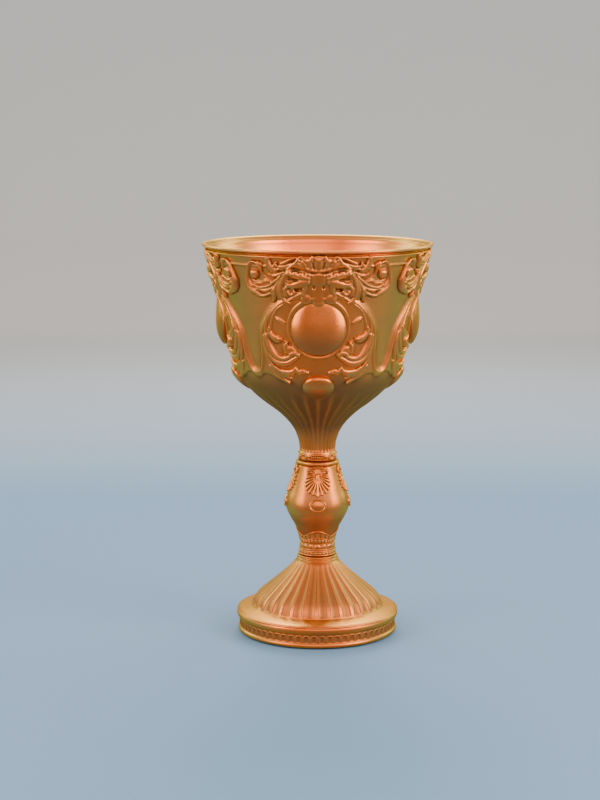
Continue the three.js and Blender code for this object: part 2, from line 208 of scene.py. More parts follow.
def sheet_between(front, back, keep):
    """A closed thin body from a front grid and a back grid of points: both faces of the kept cells, and
    a rim along every cell edge that has a kept cell on one side only."""
    rows, columns = keep.shape[0] + 1, keep.shape[1] + 1
    quads = grid_faces(rows, columns).reshape(rows - 1, columns - 1, 4)[keep]
    offset = rows * columns
    ring = np.concatenate([quads[:, [k, (k + 1) % 4]] for k in range(4)])
    key = np.sort(ring, axis=1)
    _, first, count = np.unique(key[:, 0].astype(np.int64) * offset + key[:, 1],
                                return_index=True, return_counts=True)
    edge = ring[first[count == 1]]
    rim = np.stack([edge[:, 0], edge[:, 0] + offset, edge[:, 1] + offset, edge[:, 1]], axis=1)
    faces = np.concatenate([quads, quads[:, ::-1] + offset, rim])
    points = np.concatenate([front.reshape(-1, 3), back.reshape(-1, 3)])
    used, index = np.unique(faces, return_inverse=True)
    return points[used], index.reshape(faces.shape), used % offset


def arc(radius, z, size, start, end, steps):
    """Points of an arc in a section; 0 degrees points outwards and 90 up."""
    angle = np.radians(np.linspace(start, end, steps))
    return np.stack([radius + size * np.cos(angle), z + size * np.sin(angle)], axis=1)


# ---- relief --------------------------------------------------------------------------------------

def smoothstep(low, high, value):
    t = np.clip((value - low) / (high - low), 0, 1)
    return t * t * (3 - 2 * t)


def bell_average(values, cells, wrap=False):
    """A grid averaged over its neighbours with a bell-shaped weight, `cells` wide both ways."""
    reach = int(3 * cells) + 1
    bell = np.exp(-0.5 * (np.arange(-reach, reach + 1) / cells)**2)
    bell /= bell.sum()
    for axis, mode in ((0, "edge"), (1, "wrap" if wrap else "edge")):
        pad = [(0, 0), (0, 0)]
        pad[axis] = (reach, reach)
        padded = np.pad(values, pad, mode=mode)
        values = np.lib.stride_tricks.sliding_window_view(padded, 2 * reach + 1, axis=axis) @ bell
    return values


def hollow_of(height, cells, depth, wrap=False):
    """How deep each point lies among its neighbours: 0 for `depth` mm above them, 1 for as much below."""
    return np.clip(0.5 + (bell_average(height, cells, wrap) - height) / (2 * depth), 0, 1)


def along(path, x, y):
    """For every grid point: its distance from a path, which side of it it is on (+ left of the way the
    path runs), and how far along it is, 0 to 1, all taken at the nearest point of the path."""
    start, step = path[:-1], np.diff(path, axis=0)
    length = np.hypot(*step.T)
    travelled = np.concatenate([[0], np.cumsum(length)])
    best = np.full(x.shape, np.inf)
    side = np.zeros(x.shape)
    place = np.zeros(x.shape)
    for k, (origin, way) in enumerate(zip(start, step)):
        dx, dy = x - origin[0], y - origin[1]
        t = np.clip((dx * way[0] + dy * way[1]) / length[k]**2, 0, 1)
        distance = np.hypot(dx - t * way[0], dy - t * way[1])
        nearer = distance < best
        best = np.where(nearer, distance, best)
        side = np.where(nearer, np.sign(way[0] * dy - way[1] * dx), side)
        place = np.where(nearer, travelled[k] + t * length[k], place)
    return best, side, place / travelled[-1]


FALL = 2.6                         # slope of a raised edge outside the shape
STEP = 0.35                        # and the small step down at its foot, in mm


class Relief:
    """Heights in millimetres over a grid of x (along the wall) and y (up), with the tools that raise
    them."""

    def __init__(self, x, y, floor=-1.0):
        self.x, self.y = np.meshgrid(x, y)
        self.height = np.full(self.x.shape, floor)
        # How much wider and lower its strands are cast than drawn, and the power that shapes their backs.
        self.spread, self.rise, self.crown = 1.18, 0.86, 0.7

    def window(self, points, margin):
        """The part of the grid within a margin of some points."""
        low, high = np.min(points, axis=0) - margin, np.max(points, axis=0) + margin
        columns = np.flatnonzero((self.x[0] >= low[0]) & (self.x[0] <= high[0]))
        rows = np.flatnonzero((self.y[:, 0] >= low[1]) & (self.y[:, 0] <= high[1]))
        if not len(columns) or not len(rows):
            return None
        return slice(rows[0], rows[-1] + 1), slice(columns[0], columns[-1] + 1)

    def raise_to(self, part, height):
        self.height[part] = np.maximum(self.height[part], height)

    def from_centre(self, part, centre, radii, turn):
        """Distance from the centre of an ellipse in its own radii; turn is in degrees, anticlockwise."""
        dx, dy = self.x[part] - centre[0], self.y[part] - centre[1]
        c, s = math.cos(math.radians(turn)), math.sin(math.radians(turn))
        return np.hypot((dx * c + dy * s) / radii[0], (dy * c - dx * s) / radii[1])

    def strand(self, points, width, height, base=0.0, crown=None, ribs=0, rib_depth=0.3):
        """A rounded ridge along a smooth path. width and height are values spread evenly along it.
        Across it, the section is (1 - u^2)^crown with u from -1 to 1, cut by `ribs` lengthwise grooves.
        Outside its edge the height falls away steeply."""
        path = smooth_path(points, 10)
        part = self.window(path, np.max(width) + 1.5)
        if part is None:
            return
        distance, side, t = along(path, self.x[part], self.y[part])
        spread = self.spread * np.interp(t, np.linspace(0, 1, len(width)), width)
        rise = self.rise * np.interp(t, np.linspace(0, 1, len(height)), height)
        u = distance / np.maximum(spread, 0.05)
        section = np.clip(1 - u * u, 0, 1)**(crown or self.crown)
        if ribs:
            section = section * (1 - rib_depth * (0.5 + 0.5 * np.cos(np.pi * (ribs * (u * side + 1)))))
        outside = np.maximum(distance - spread, 0)
        self.raise_to(part, base + rise * section - FALL * outside - STEP * (u > 1))

    def dome(self, centre, radii, rise, base=0.0, crown=0.5, turn=0.0):
        """A rounded boss: rise * (1 - u^2)^crown, u being its from_centre."""
        part = self.window([centre], max(radii) + 1.5)
        if part is None:
            return
        u = self.from_centre(part, centre, radii, turn)
        section = np.clip(1 - u * u, 0, 1)**crown
        outside = FALL * np.maximum(u - 1, 0) * min(radii)
        self.raise_to(part, base + rise * section - outside - STEP * (u > 1))

    def plate(self, outline, rise, edge=0.8):
        """A flat field inside a closed outline, `rise` high, with an edge that slopes over `edge` mm."""
        path = smooth_path(outline, 8, closed=True)
        loop = np.concatenate([path, path[:1]])
        distance, _, _ = along(loop, self.x, self.y)
        inside = np.zeros(self.x.shape, bool)
        for (ax, ay), (bx, by) in zip(loop[:-1], loop[1:]):
            if ay == by:
                continue
            crosses = (ay > self.y) != (by > self.y)
            inside ^= crosses & (self.x < (bx - ax) * (self.y - ay) / (by - ay) + ax)
        signed = np.where(inside, distance, -distance)
        self.height = np.maximum(self.height, np.minimum(rise, rise * signed / edge))

    def sink(self, centre, radii, depth, softness=0.35, turn=0.0):
        """A drilled or chased recess: an ellipse pushed down by `depth`, with a soft edge."""
        part = self.window([centre], max(radii) * (1 + softness) + 0.5)
        if part is None:
            return
        u = self.from_centre(part, centre, radii, turn)
        self.height[part] -= depth * (1 - smoothstep(1 - softness, 1 + softness, u))

    def groove(self, points, width, depth):
        """A chased line: a rounded furrow along a smooth path."""
        path = smooth_path(points, 10)
        part = self.window(path, width + 1)
        if part is None:
            return
        distance, _, t = along(path, self.x[part], self.y[part])
        ends = np.clip(4 * np.minimum(t, 1 - t) + 0.3, 0, 1)
        self.height[part] -= depth * ends * np.clip(1 - (distance / width)**2, 0, 1)

    def soften(self, cells):
        """Blends each height with its neighbours, as polishing does."""
        self.height = bell_average(self.height, cells)

    def mirrored(self):
        """The whole relief from its right half: x runs from 0, and the left half is its reflection."""
        x = np.concatenate([-self.x[0, :0:-1], self.x[0]])
        return x, np.concatenate([self.height[:, :0:-1], self.height], axis=1)


def casting(name, wall, reach, relief, angle, back=0.3, blend=(3.0, 0.8)):
    """A relief laid on a turned wall and closed behind. Cells that lie wholly under its back are left
    out. blend is the width in cells and the depth in mm that count as a dip among the neighbours: dips
    are darkened with patina and painted shade, and crests lightened towards polish."""
    x, height = relief.mirrored()
    z = relief.y[:, :1]
    radius = wall.radius(z)
    above = height > back + 0.2
    keep = above[:-1, :-1] | above[1:, :-1] | above[:-1, 1:] | above[1:, 1:]
    turn = angle + x[None, :] / reach
    front = on_wall(radius + np.maximum(height, back + 0.1), turn, z)
    behind = on_wall(radius + back, turn, z)
    vertices, faces, used = sheet_between(front, behind, keep)
    # Patina and painted shade in the dips between strands, polish on the crests.
    hollow = hollow_of(np.maximum(height, 0.8), blend[0], blend[1]).ravel()[used]
    return new_piece(name, vertices, [faces], COPPER_GOLD, hollow)


# ---- materials -----------------------------------------------------------------------------------

def new_group(name, inputs, outputs):
    """An empty shader node group with named float or colour sockets."""
    group = bpy.data.node_groups.new(name, "ShaderNodeTree")
    for direction, sockets in (("INPUT", inputs), ("OUTPUT", outputs)):
        for label, kind, value in sockets:
            socket = group.interface.new_socket(name=label, in_out=direction, socket_type=kind)
            if value is not None:
                socket.default_value = value
    return group, group.nodes.new("NodeGroupInput"), group.nodes.new("NodeGroupOutput")


FLOAT, COLOUR = "NodeSocketFloat", "NodeSocketColor"


def chain(tree, kind, inputs=None, **settings):
    """A node with its settings made and its inputs linked (from a socket) or set (from a value)."""
    node = tree.nodes.new(kind)
    for key, value in settings.items():
        setattr(node, key, value)
    for key, value in (inputs or {}).items():
        if isinstance(value, bpy.types.NodeSocket):
            tree.links.new(value, node.inputs[key])
        else:
            node.inputs[key].default_value = value
    return node


def remap(tree, value, low, high, to_low, to_high):
    return chain(tree, "ShaderNodeMapRange", {0: value, 1: low, 2: high, 3: to_low,
                                              4: to_high}).outputs[0]


def mix_colour(tree, factor, first, second, blend="MIX"):
    node = tree.nodes.new("ShaderNodeMix")
    node.data_type = "RGBA"
    node.blend_type = blend
    for socket, value in ((node.inputs[0], factor), (node.inputs[6], first), (node.inputs[7], second)):
        if isinstance(value, bpy.types.NodeSocket):
            tree.links.new(value, socket)
        else:
            socket.default_value = value
    return node.outputs[2]


def multiply_add(tree, first, second, third=0.0):
    inputs = {0: first, 1: second, 2: third}
    return chain(tree, "ShaderNodeMath", inputs, operation="MULTIPLY_ADD").outputs[0]


def open_material(name):
    """A new material with its node tree and its Principled shader."""
    material = bpy.data.materials.new(name)
    material.use_nodes = True
    return material, material.node_tree, material.node_tree.nodes["Principled BSDF"]


def grain_group():
    """Fine grain of a plated casting: a pitted noise at the size of the grain over a slow cloudy one.
    Grain is the height for bump; Cloud, 0 to 1, varies the tone and the gloss slowly over the piece."""
    group, inside, outside = new_group("plated_grain", [
        ("Grain Size", FLOAT, 0.0006), ("Cloud Size", FLOAT, 0.03),
    ], [("Grain", FLOAT, None), ("Cloud", FLOAT, None)])
    where = group.nodes.new("ShaderNodeTexCoord").outputs["Object"]
    fine_scale, slow_scale = (
        chain(group, "ShaderNodeMath", {0: 1.0, 1: inside.outputs[label]}, operation="DIVIDE").outputs[0]
        for label in ("Grain Size", "Cloud Size"))
    fine = chain(group, "ShaderNodeTexNoise",
                 {"Vector": where, "Scale": fine_scale, "Detail": 3.0, "Roughness": 0.6})
    slow = chain(group, "ShaderNodeTexNoise",
                 {"Vector": where, "Scale": slow_scale, "Detail": 4.0, "Roughness": 0.55,
                  "Distortion": 0.6})
    group.links.new(fine.outputs["Fac"], outside.inputs["Grain"])
    cloud = remap(group, slow.outputs["Fac"], 0.3, 0.7, 0.0, 1.0)
    group.links.new(cloud, outside.inputs["Cloud"])
    return group


def wear_and_shade_group():
    """Polish and patina of chased metal, and painted shade: the hollow attribute (0 on the high
    places, 1 in the hollows and in the painted shade of undersides) darkens the colour towards
    Patina_and_Shade, and its low end brightens it towards Polish where hands and cloths reach."""
    group, inside, outside = new_group("chased_wear_and_shade", [
        ("Metal", COLOUR, (0.7, 0.4, 0.2, 1)), ("Patina_and_Shade", COLOUR, (0.3, 0.15, 0.05, 1)),
        ("Polish", COLOUR, (0.9, 0.6, 0.3, 1)), ("Cloud", FLOAT, 0.5), ("Depth", FLOAT, 0.8),
    ], [("Colour", COLOUR, None), ("Worn", FLOAT, None), ("Dark", FLOAT, None)])
    hollow = chain(group, "ShaderNodeAttribute", attribute_name="hollow").outputs["Fac"]
    dark = remap(group, hollow, PLAIN, 1.0, 0.0, 1.0)
    dark = chain(group, "ShaderNodeMath", {0: dark, 1: inside.outputs["Depth"]},
                 operation="MULTIPLY").outputs[0]
    bright = remap(group, hollow, PLAIN, 0.0, 0.0, 1.0)
    varied = mix_colour(group, multiply_add(group, inside.outputs["Cloud"], 0.35),
                        inside.outputs["Metal"],
                        inside.outputs["Patina_and_Shade"])
    worn = mix_colour(group, bright, varied, inside.outputs["Polish"])
    group.links.new(mix_colour(group, dark, worn, inside.outputs["Patina_and_Shade"]), outside.inputs["Colour"])
    group.links.new(bright, outside.inputs["Worn"])
    group.links.new(dark, outside.inputs["Dark"])
    return group


GRAIN = grain_group()
WEAR_AND_SHADE = wear_and_shade_group()
TURNING = (0.09, 0.5)              # Facing where the colour starts to turn, and where it has turned fully
# Where it is dark with patina and painted shade the colour turns less and grows rougher; where worn it
# turns less and grows glossier.
TURN_LOST_IN_DARK, TURN_LOST_IN_WEAR = 0.9, 0.5
WORN_ROUGHNESS, DARK_ROUGHNESS = -0.06, 0.3


def plated_metal(name, metal, patina, polish, away, edge_tint, rough, bump, grain_size, depth=0.8):
    """Plated metal, as a finish: a coloured mirror that the grain and the cloud break up. Where it
    turns away from the eye its colour is multiplied by `away`, less so where it is dark with patina and
    painted shade and on the worn edges. patina is the colour of its hollows and of its painted shade, on
    undersides and the lower halves of domes; for plain stock it is a second tone that the cloud mixes in.
    edge_tint is what it reflects at grazing angles; rough is the roughness at its glossiest and its
    dullest; depth is how dark its patina and painted shade are, and 0 leaves polish, patina and painted
    shade out, for plain stock."""
    material, tree, shader = open_material(name)
    grain = chain(tree, "ShaderNodeGroup", {}, node_tree=GRAIN)
    grain.inputs["Grain Size"].default_value = grain_size
    gloss = remap(tree, grain.outputs["Cloud"], 0.0, 1.0, rough[0], rough[1])
    if depth:
        wear_and_shade_node = chain(tree, "ShaderNodeGroup", {}, node_tree=WEAR_AND_SHADE)
        for label, value in (("Metal", metal), ("Patina_and_Shade", patina), ("Polish", polish)):
            wear_and_shade_node.inputs[label].default_value = (*value, 1)
        wear_and_shade_node.inputs["Depth"].default_value = depth
        tree.links.new(grain.outputs["Cloud"], wear_and_shade_node.inputs["Cloud"])
        facing = chain(tree, "ShaderNodeLayerWeight", {"Blend": 0.5}).outputs["Facing"]
        bare = multiply_add(tree, wear_and_shade_node.outputs["Dark"], -TURN_LOST_IN_DARK, 1.0)
        bare = multiply_add(tree, wear_and_shade_node.outputs["Worn"], -TURN_LOST_IN_WEAR, bare)
        turned_away = multiply_add(tree, remap(tree, facing, *TURNING, 0.0, 1.0), bare)
        seen = mix_colour(tree, turned_away, (1, 1, 1, 1), (*away, 1))
        colour = mix_colour(tree, 1.0, wear_and_shade_node.outputs["Colour"], seen, blend="MULTIPLY")
        tree.links.new(colour, shader.inputs["Base Color"])
        gloss = multiply_add(tree, wear_and_shade_node.outputs["Worn"], WORN_ROUGHNESS, gloss)
        gloss = multiply_add(tree, wear_and_shade_node.outputs["Dark"], DARK_ROUGHNESS, gloss)
    else:
        colour = mix_colour(tree, grain.outputs["Cloud"], (*metal, 1), (*patina, 1))
        tree.links.new(colour, shader.inputs["Base Color"])
    tree.links.new(gloss, shader.inputs["Roughness"])
    shader.inputs["Metallic"].default_value = 1.0
    shader.inputs["Specular Tint"].default_value = (*edge_tint, 1)
    relief = chain(tree, "ShaderNodeBump", {"Height": grain.outputs["Grain"], "Strength": bump,
                                            "Distance": 0.0002})
    tree.links.new(relief.outputs["Normal"], shader.inputs["Normal"])
    return material, name


COPPER_GOLD = plated_metal("copper_gold", metal=(0.90, 0.172, 0.026), patina=(0.16, 0.085, 0.032),
                           polish=(0.98, 0.21, 0.042), away=(0.78, 2.1, 2.5), edge_tint=(1.0, 0.8, 0.4),
                           rough=(0.29, 0.38), bump=0.6, grain_size=0.0007, depth=0.9)
BOWL_INSIDE = plated_metal("bowl_inside", metal=(0.93, 0.170, 0.038), patina=(0.6, 0.14, 0.03),
                           polish=(0.9, 0.3, 0.08), away=(0.9, 2.6, 3.0), edge_tint=(1.0, 0.8, 0.45),
                           rough=(0.27, 0.34), bump=0.2, grain_size=0.0006)
POLISHED_BOSS = plated_metal("polished_boss", metal=(0.90, 0.175, 0.028), patina=(0.18, 0.09, 0.032),
                             polish=(0.95, 0.22, 0.045), away=(0.82, 2.0, 2.4), edge_tint=(1.0, 0.8, 0.4),
                             rough=(0.24, 0.3), bump=0.25, grain_size=0.0006, depth=0.8)
PLAIN_STEEL = plated_metal("plain_steel", metal=(0.52, 0.52, 0.53), patina=(0.3, 0.29, 0.28),
                           polish=(0.7, 0.7, 0.7), away=(1, 1, 1), edge_tint=(1, 1, 1), rough=(0.35, 0.5),
                           bump=0.3, grain_size=0.0009, depth=0.0)


def felt():
    """Pressed wool felt: a dull fibre tangle from two noises, with a soft sheen."""
    material, tree, shader = open_material("black_felt")
    where = tree.nodes.new("ShaderNodeTexCoord").outputs["Object"]
    fibre = chain(tree, "ShaderNodeTexNoise",
                  {"Vector": where, "Scale": 1800.0, "Detail": 6.0, "Distortion": 2.0})
    clump = chain(tree, "ShaderNodeTexNoise", {"Vector": where, "Scale": 150.0, "Detail": 3.0})
    tone = multiply_add(tree, fibre.outputs["Fac"], clump.outputs["Fac"])
    colour = mix_colour(tree, tone, (0.008, 0.008, 0.009, 1), (0.045, 0.045, 0.05, 1))
    tree.links.new(colour, shader.inputs["Base Color"])
    shader.inputs["Roughness"].default_value = 0.95
    shader.inputs["Sheen Weight"].default_value = 0.35
    nap = chain(tree, "ShaderNodeBump",
                {"Height": fibre.outputs["Fac"], "Strength": 0.7, "Distance": 0.0004})
    tree.links.new(nap.outputs["Normal"], shader.inputs["Normal"])
    return material, "black_felt"


BLACK_FELT = felt()


# ---- stage: floor, light and camera --------------------------------------------------------------

FLOOR_COLOUR = (0.155, 0.27, 0.40)
WALL_COLOUR = (0.72, 0.69, 0.65)
FADE = (0.5, 1.9)                  # the floor takes on the wall's colour between these distances behind
FLOOR_END, BEND, WALL_TOP, HALF_WIDTH = 1.8, 0.5, 5.0, 6.0
ROOM_COLOUR = (1.0, 0.97, 0.93)
ROOM_AT_HORIZON, ROOM_OVERHEAD = 0.65, 0.8
LIGHTS_AIM = (0, 0, 0.2)
SOFT_LIGHTS = (                    # name, azimuth, elevation, distance, (width, height), radiance
    ("front_high", 8, 27, 1.7, (1.5, 1.15), 1.9),
    ("front_left", -60, 20, 1.2, (0.72, 0.8), 5.0),
    ("front_right", 60, 20, 1.2, (0.72, 0.8), 6.8),
    ("back_left", -125, 24, 1.2, (0.6, 0.9), 3.0),
    ("back_right", 125, 24, 1.2, (0.6, 0.9), 3.0),
    ("high_back", 180, 44, 1.5, (1.0, 0.9), 6.0),
)


def studio():
    """A pale floor that bends up into a pale wall, in an even pale room, with two tall soft lights on the
    diagonals in front, two behind, a broad one high in front, and one high behind for the flat tops."""
    turn = np.linspace(0.1, QUARTER, 12)
    bend = np.stack([FLOOR_END + BEND * np.sin(turn), BEND - BEND * np.cos(turn)], axis=1)
    run = np.concatenate([[(-HALF_WIDTH, 0.0), (FLOOR_END, 0.0)], bend, [(FLOOR_END + BEND, WALL_TOP)]])
    across = np.array([-HALF_WIDTH, HALF_WIDTH])
    vertices = np.stack(np.broadcast_arrays(across[None, :], run[:, :1], run[:, 1:]), axis=-1)
    mesh = bpy.data.meshes.new("floor")
    mesh.from_pydata(vertices.reshape(-1, 3).tolist(), [], grid_faces(len(run), 2).tolist())
    mesh.shade_smooth()
    floor = bpy.data.objects.new("floor", mesh)
    bpy.context.scene.collection.objects.link(floor)
    material, tree, shader = open_material("pale_floor")
    where = tree.nodes.new("ShaderNodeTexCoord").outputs["Object"]
    behind = chain(tree, "ShaderNodeSeparateXYZ", {"Vector": where}).outputs["Y"]
    fade = remap(tree, behind, *FADE, 0.0, 1.0)
    tree.links.new(mix_colour(tree, fade, (*FLOOR_COLOUR, 1), (*WALL_COLOUR, 1)),
                   shader.inputs["Base Color"])
    shader.inputs["Roughness"].default_value = 0.7
    mesh.materials.append(material)

    world = bpy.data.worlds.new("studio")
    world.use_nodes = True
    tree = world.node_tree
    background = tree.nodes["Background"]
    direction = tree.nodes.new("ShaderNodeTexCoord").outputs["Generated"]
    height = chain(tree, "ShaderNodeSeparateXYZ", {"Vector": direction}).outputs["Z"]
    strength = remap(tree, height, 0.0, 0.8, ROOM_AT_HORIZON, ROOM_OVERHEAD)
    tree.links.new(strength, background.inputs["Strength"])
    background.inputs["Color"].default_value = (*ROOM_COLOUR, 1)
    bpy.context.scene.world = world

    for light in SOFT_LIGHTS:
        soft_light(*light, np.array(LIGHTS_AIM))


def soft_light(name, azimuth, elevation, distance, size, radiance, target):
    """A rectangular soft light; azimuth 0 is in front of the cup (-Y) and 90 on its right (+X)."""
    data = bpy.data.lights.new(name, "AREA")
    data.shape = "RECTANGLE"
    data.size, data.size_y = size
    data.energy = radiance * math.pi * size[0] * size[1]
    light = bpy.data.objects.new(name, data)
    bpy.context.scene.collection.objects.link(light)
    a, e = math.radians(azimuth), math.radians(elevation)
    offset = np.array([math.sin(a) * math.cos(e), -math.cos(a) * math.cos(e), math.sin(e)]) * distance
    light.location = target + offset
    light.rotation_euler = Vector(-offset).to_track_quat("-Z", "Y").to_euler()


CAMERA_PLACE = (-0.0134, -1.426, 0.4029)
CAMERA_TILT = 8.9                  # degrees down from level
CAMERA_LENS = 85                   # mm


def camera():
    """A long lens a little above the lip, looking down at the cup from the front."""
    data = bpy.data.cameras.new("camera")
    data.lens = CAMERA_LENS
    data.sensor_width = 36
    data.clip_start = 0.05
    camera = bpy.data.objects.new("camera", data)
    bpy.context.scene.collection.objects.link(camera)
    camera.location = CAMERA_PLACE
    camera.rotation_euler = (math.radians(90 - CAMERA_TILT), 0, 0)
    bpy.context.scene.camera = camera


studio()
camera()


# ---- the bowl ------------------------------------------------------------------------------------

BOWL_REACH = 75.0                  # radius at which the ornament's x is measured
FIELD = 1.45                       # the raised field the cartouches lie on
COVE, CREST = 2.3, 2.4             # height of the cove round a smooth panel, and of the crest that ends it
STRING_LINE = 288.1                # height of the fine bead that runs round above the panels
CHANNELS, CHANNEL_DEPTH = 32, 0.85
LINER_OUTSIDE, LINER_INSIDE, SHELL_INSIDE = 2.4, 3.7, 1.9     # how far these lie within the turned wall
BEAD_HEIGHT, BEAD_SIZE = 294.9, 0.85


def bump(value, power=0.7):
    """A rounded ridge over -1 to 1: (1 - t^2)^power."""
    return np.clip(1 - value * value, 0, 1)**power


def bowl_liner():
    """The spun liner: a rolled lip, a flare below it, and a bowl that follows the shell down to its
    floor."""
    z = np.linspace(178, 296, 44)
    outside = np.stack([BOWL.radius(z) - LINER_OUTSIDE, z], axis=1)
    lip = arc(86.2, 298.85, 1.2, -90, 100, 12)
    mouth = smooth_path([(85.4, 299.9), (84.4, 299.4), (83.4, 298.3), (82.2, 296.9), (80.9, 295),
                         (79.5, 291.5),
                         (77.9, 286)], 5)
    z = np.linspace(285, 180, 40)
    inside = np.stack([BOWL.radius(z) - LINER_INSIDE + 0.3 * smoothstep(270, 285, z), z], axis=1)
    under = [(0, 172.2), (12, 172.2), (20, 172.5), (27, 174.2)]
    floor = [(30.2, 177.2), (22, 174.6), (15, 173.7), (8, 173.5), (0, 173.5)]
    section = np.concatenate([under, outside, [(81.3, 297.4)], lip, mouth, inside, floor])
    turned_solid("bowl_liner", section, 240, BOWL_INSIDE)


def panel_height(angle, z):
    """Height of the shell's belt above its turned wall. Between each two cartouches a smooth panel lies
    at 0, with a coved border that rises to a rounded crest; outside the crest is the cartouche's raised
    field."""
    from_middle = np.abs(np.degrees(angle) % 90 - 45) * math.radians(1) * BOWL_REACH
    border = smooth_path([(-8.7, 215), (-5.5, 209), (0, 207), (5.5, 209), (8.7, 215), (10.5, 222),
                          (11, 230),
                          (13, 240), (19.6, 250), (27, 257.5), (33, 262), (37, 265)], 8)
    distance, side, _ = along(border, from_middle, z)
    out = -side * distance
    cove = COVE * np.clip((out + 6.2) / 5.5, 0, 1)**1.8
    crest = CREST - 0.3 * (out / 0.7)**2
    field = FIELD + 0.65 * np.clip(1 - (out - 0.7) / 1.6, 0, 1)**2
    height = np.where(out < -0.7, cove, np.where(out < 0.7, crest, field))
    foot_line = 204.6 + 3.2 * smoothstep(2, 9, from_middle) - 4.5 * smoothstep(11, 26, from_middle)
    give = 1 + 7 * smoothstep(30, 44, from_middle)
    height = height * smoothstep(-give, give, z - foot_line) * (1 - 0.45 * smoothstep(262, 266, z))
    string = 0.95 * bump((z - STRING_LINE) / 1.05) * (from_middle < 25)
    return height + string


def bowl_shell():
    """The cast shell: a fluted neck and funnel, 32 concave channels meeting in sharp arrises, under a
    belt of panels and fields. Channel depth at angle a goes as |sin 16a|, fading out where the funnel
    opens. The underside is painted dark, a painted shade where the funnel faces down, and darkest in the
    channels, with patina and painted shade."""
    counts = (10, 11, 24, 24, 24, 24, 11, 10)
    quarter = np.concatenate([(k + np.arange(n) / n) * QUARTER / 8 for k, n in enumerate(counts)])
    angle = np.concatenate([quarter + side * QUARTER for side in range(4)])
    heights = np.concatenate([np.linspace(140.6, 186, 46)[:-1], np.linspace(186, 204, 19)[:-1],
                              np.linspace(204, 214, 22)[:-1], np.linspace(214, 286, 57)[:-1],
                              np.linspace(286, 290, 13)[:-1], np.linspace(290, 296.4, 6), [296.6]])
    around, z = np.meshgrid(angle, heights)
    channel = np.abs(np.sin(CHANNELS / 2 * around)) * smoothstep(140.8, 142.5,
                                                                 z) * (1 - smoothstep(180, 197, z))
    relief = panel_height(around, z) - CHANNEL_DEPTH * channel
    inner_z = np.array([296.6, 296.4, 268, 243, 224, 206, 190, 175, 166])
    inner = np.concatenate([np.stack([BOWL.radius(inner_z) - SHELL_INSIDE, inner_z], axis=1),
                            [(15.4, 160), (ROD_BORE, 160), (ROD_BORE, 136.5), (9, 136.5), (9, 140.4),
                             (13.3, 140.4)]])
    wide = np.ones((1, len(angle)))
    radius = np.concatenate([BOWL.radius(z) + relief, inner[:, :1] * wide])
    level = np.concatenate([z, inner[:, 1:] * wide])
    # Painted shade: the funnel's underside, which faces down, is darkened; the channels are darker still,
    # patina and painted shade together.
    underside = smoothstep(148, 164, z) * (1 - smoothstep(194, 213, z))
    in_channel = hollow_of(relief, 2.5, 0.9, wrap=True) - 0.5
    hollow = 0.52 + in_channel * (0.4 + 0.6 * smoothstep(150, 200, z)) + 0.42 * underside
    hollow = np.concatenate([np.clip(hollow, 0, 1), PLAIN * np.ones((len(inner), len(angle)))])
    ring_surface("bowl_shell", radius, angle[None, :], level, COPPER_GOLD, hollow)


def rim_bead():
    """The bright wire under the lip, standing clear of the wall by a dark quirk."""
    radius = float(BOWL.radius(BEAD_HEIGHT)) + 0.75
    turned_ring("rim_bead", arc(radius, BEAD_HEIGHT, BEAD_SIZE, -180, 150, 14), 240, COPPER_GOLD)


# ---- the cartouches ------------------------------------------------------------------------------

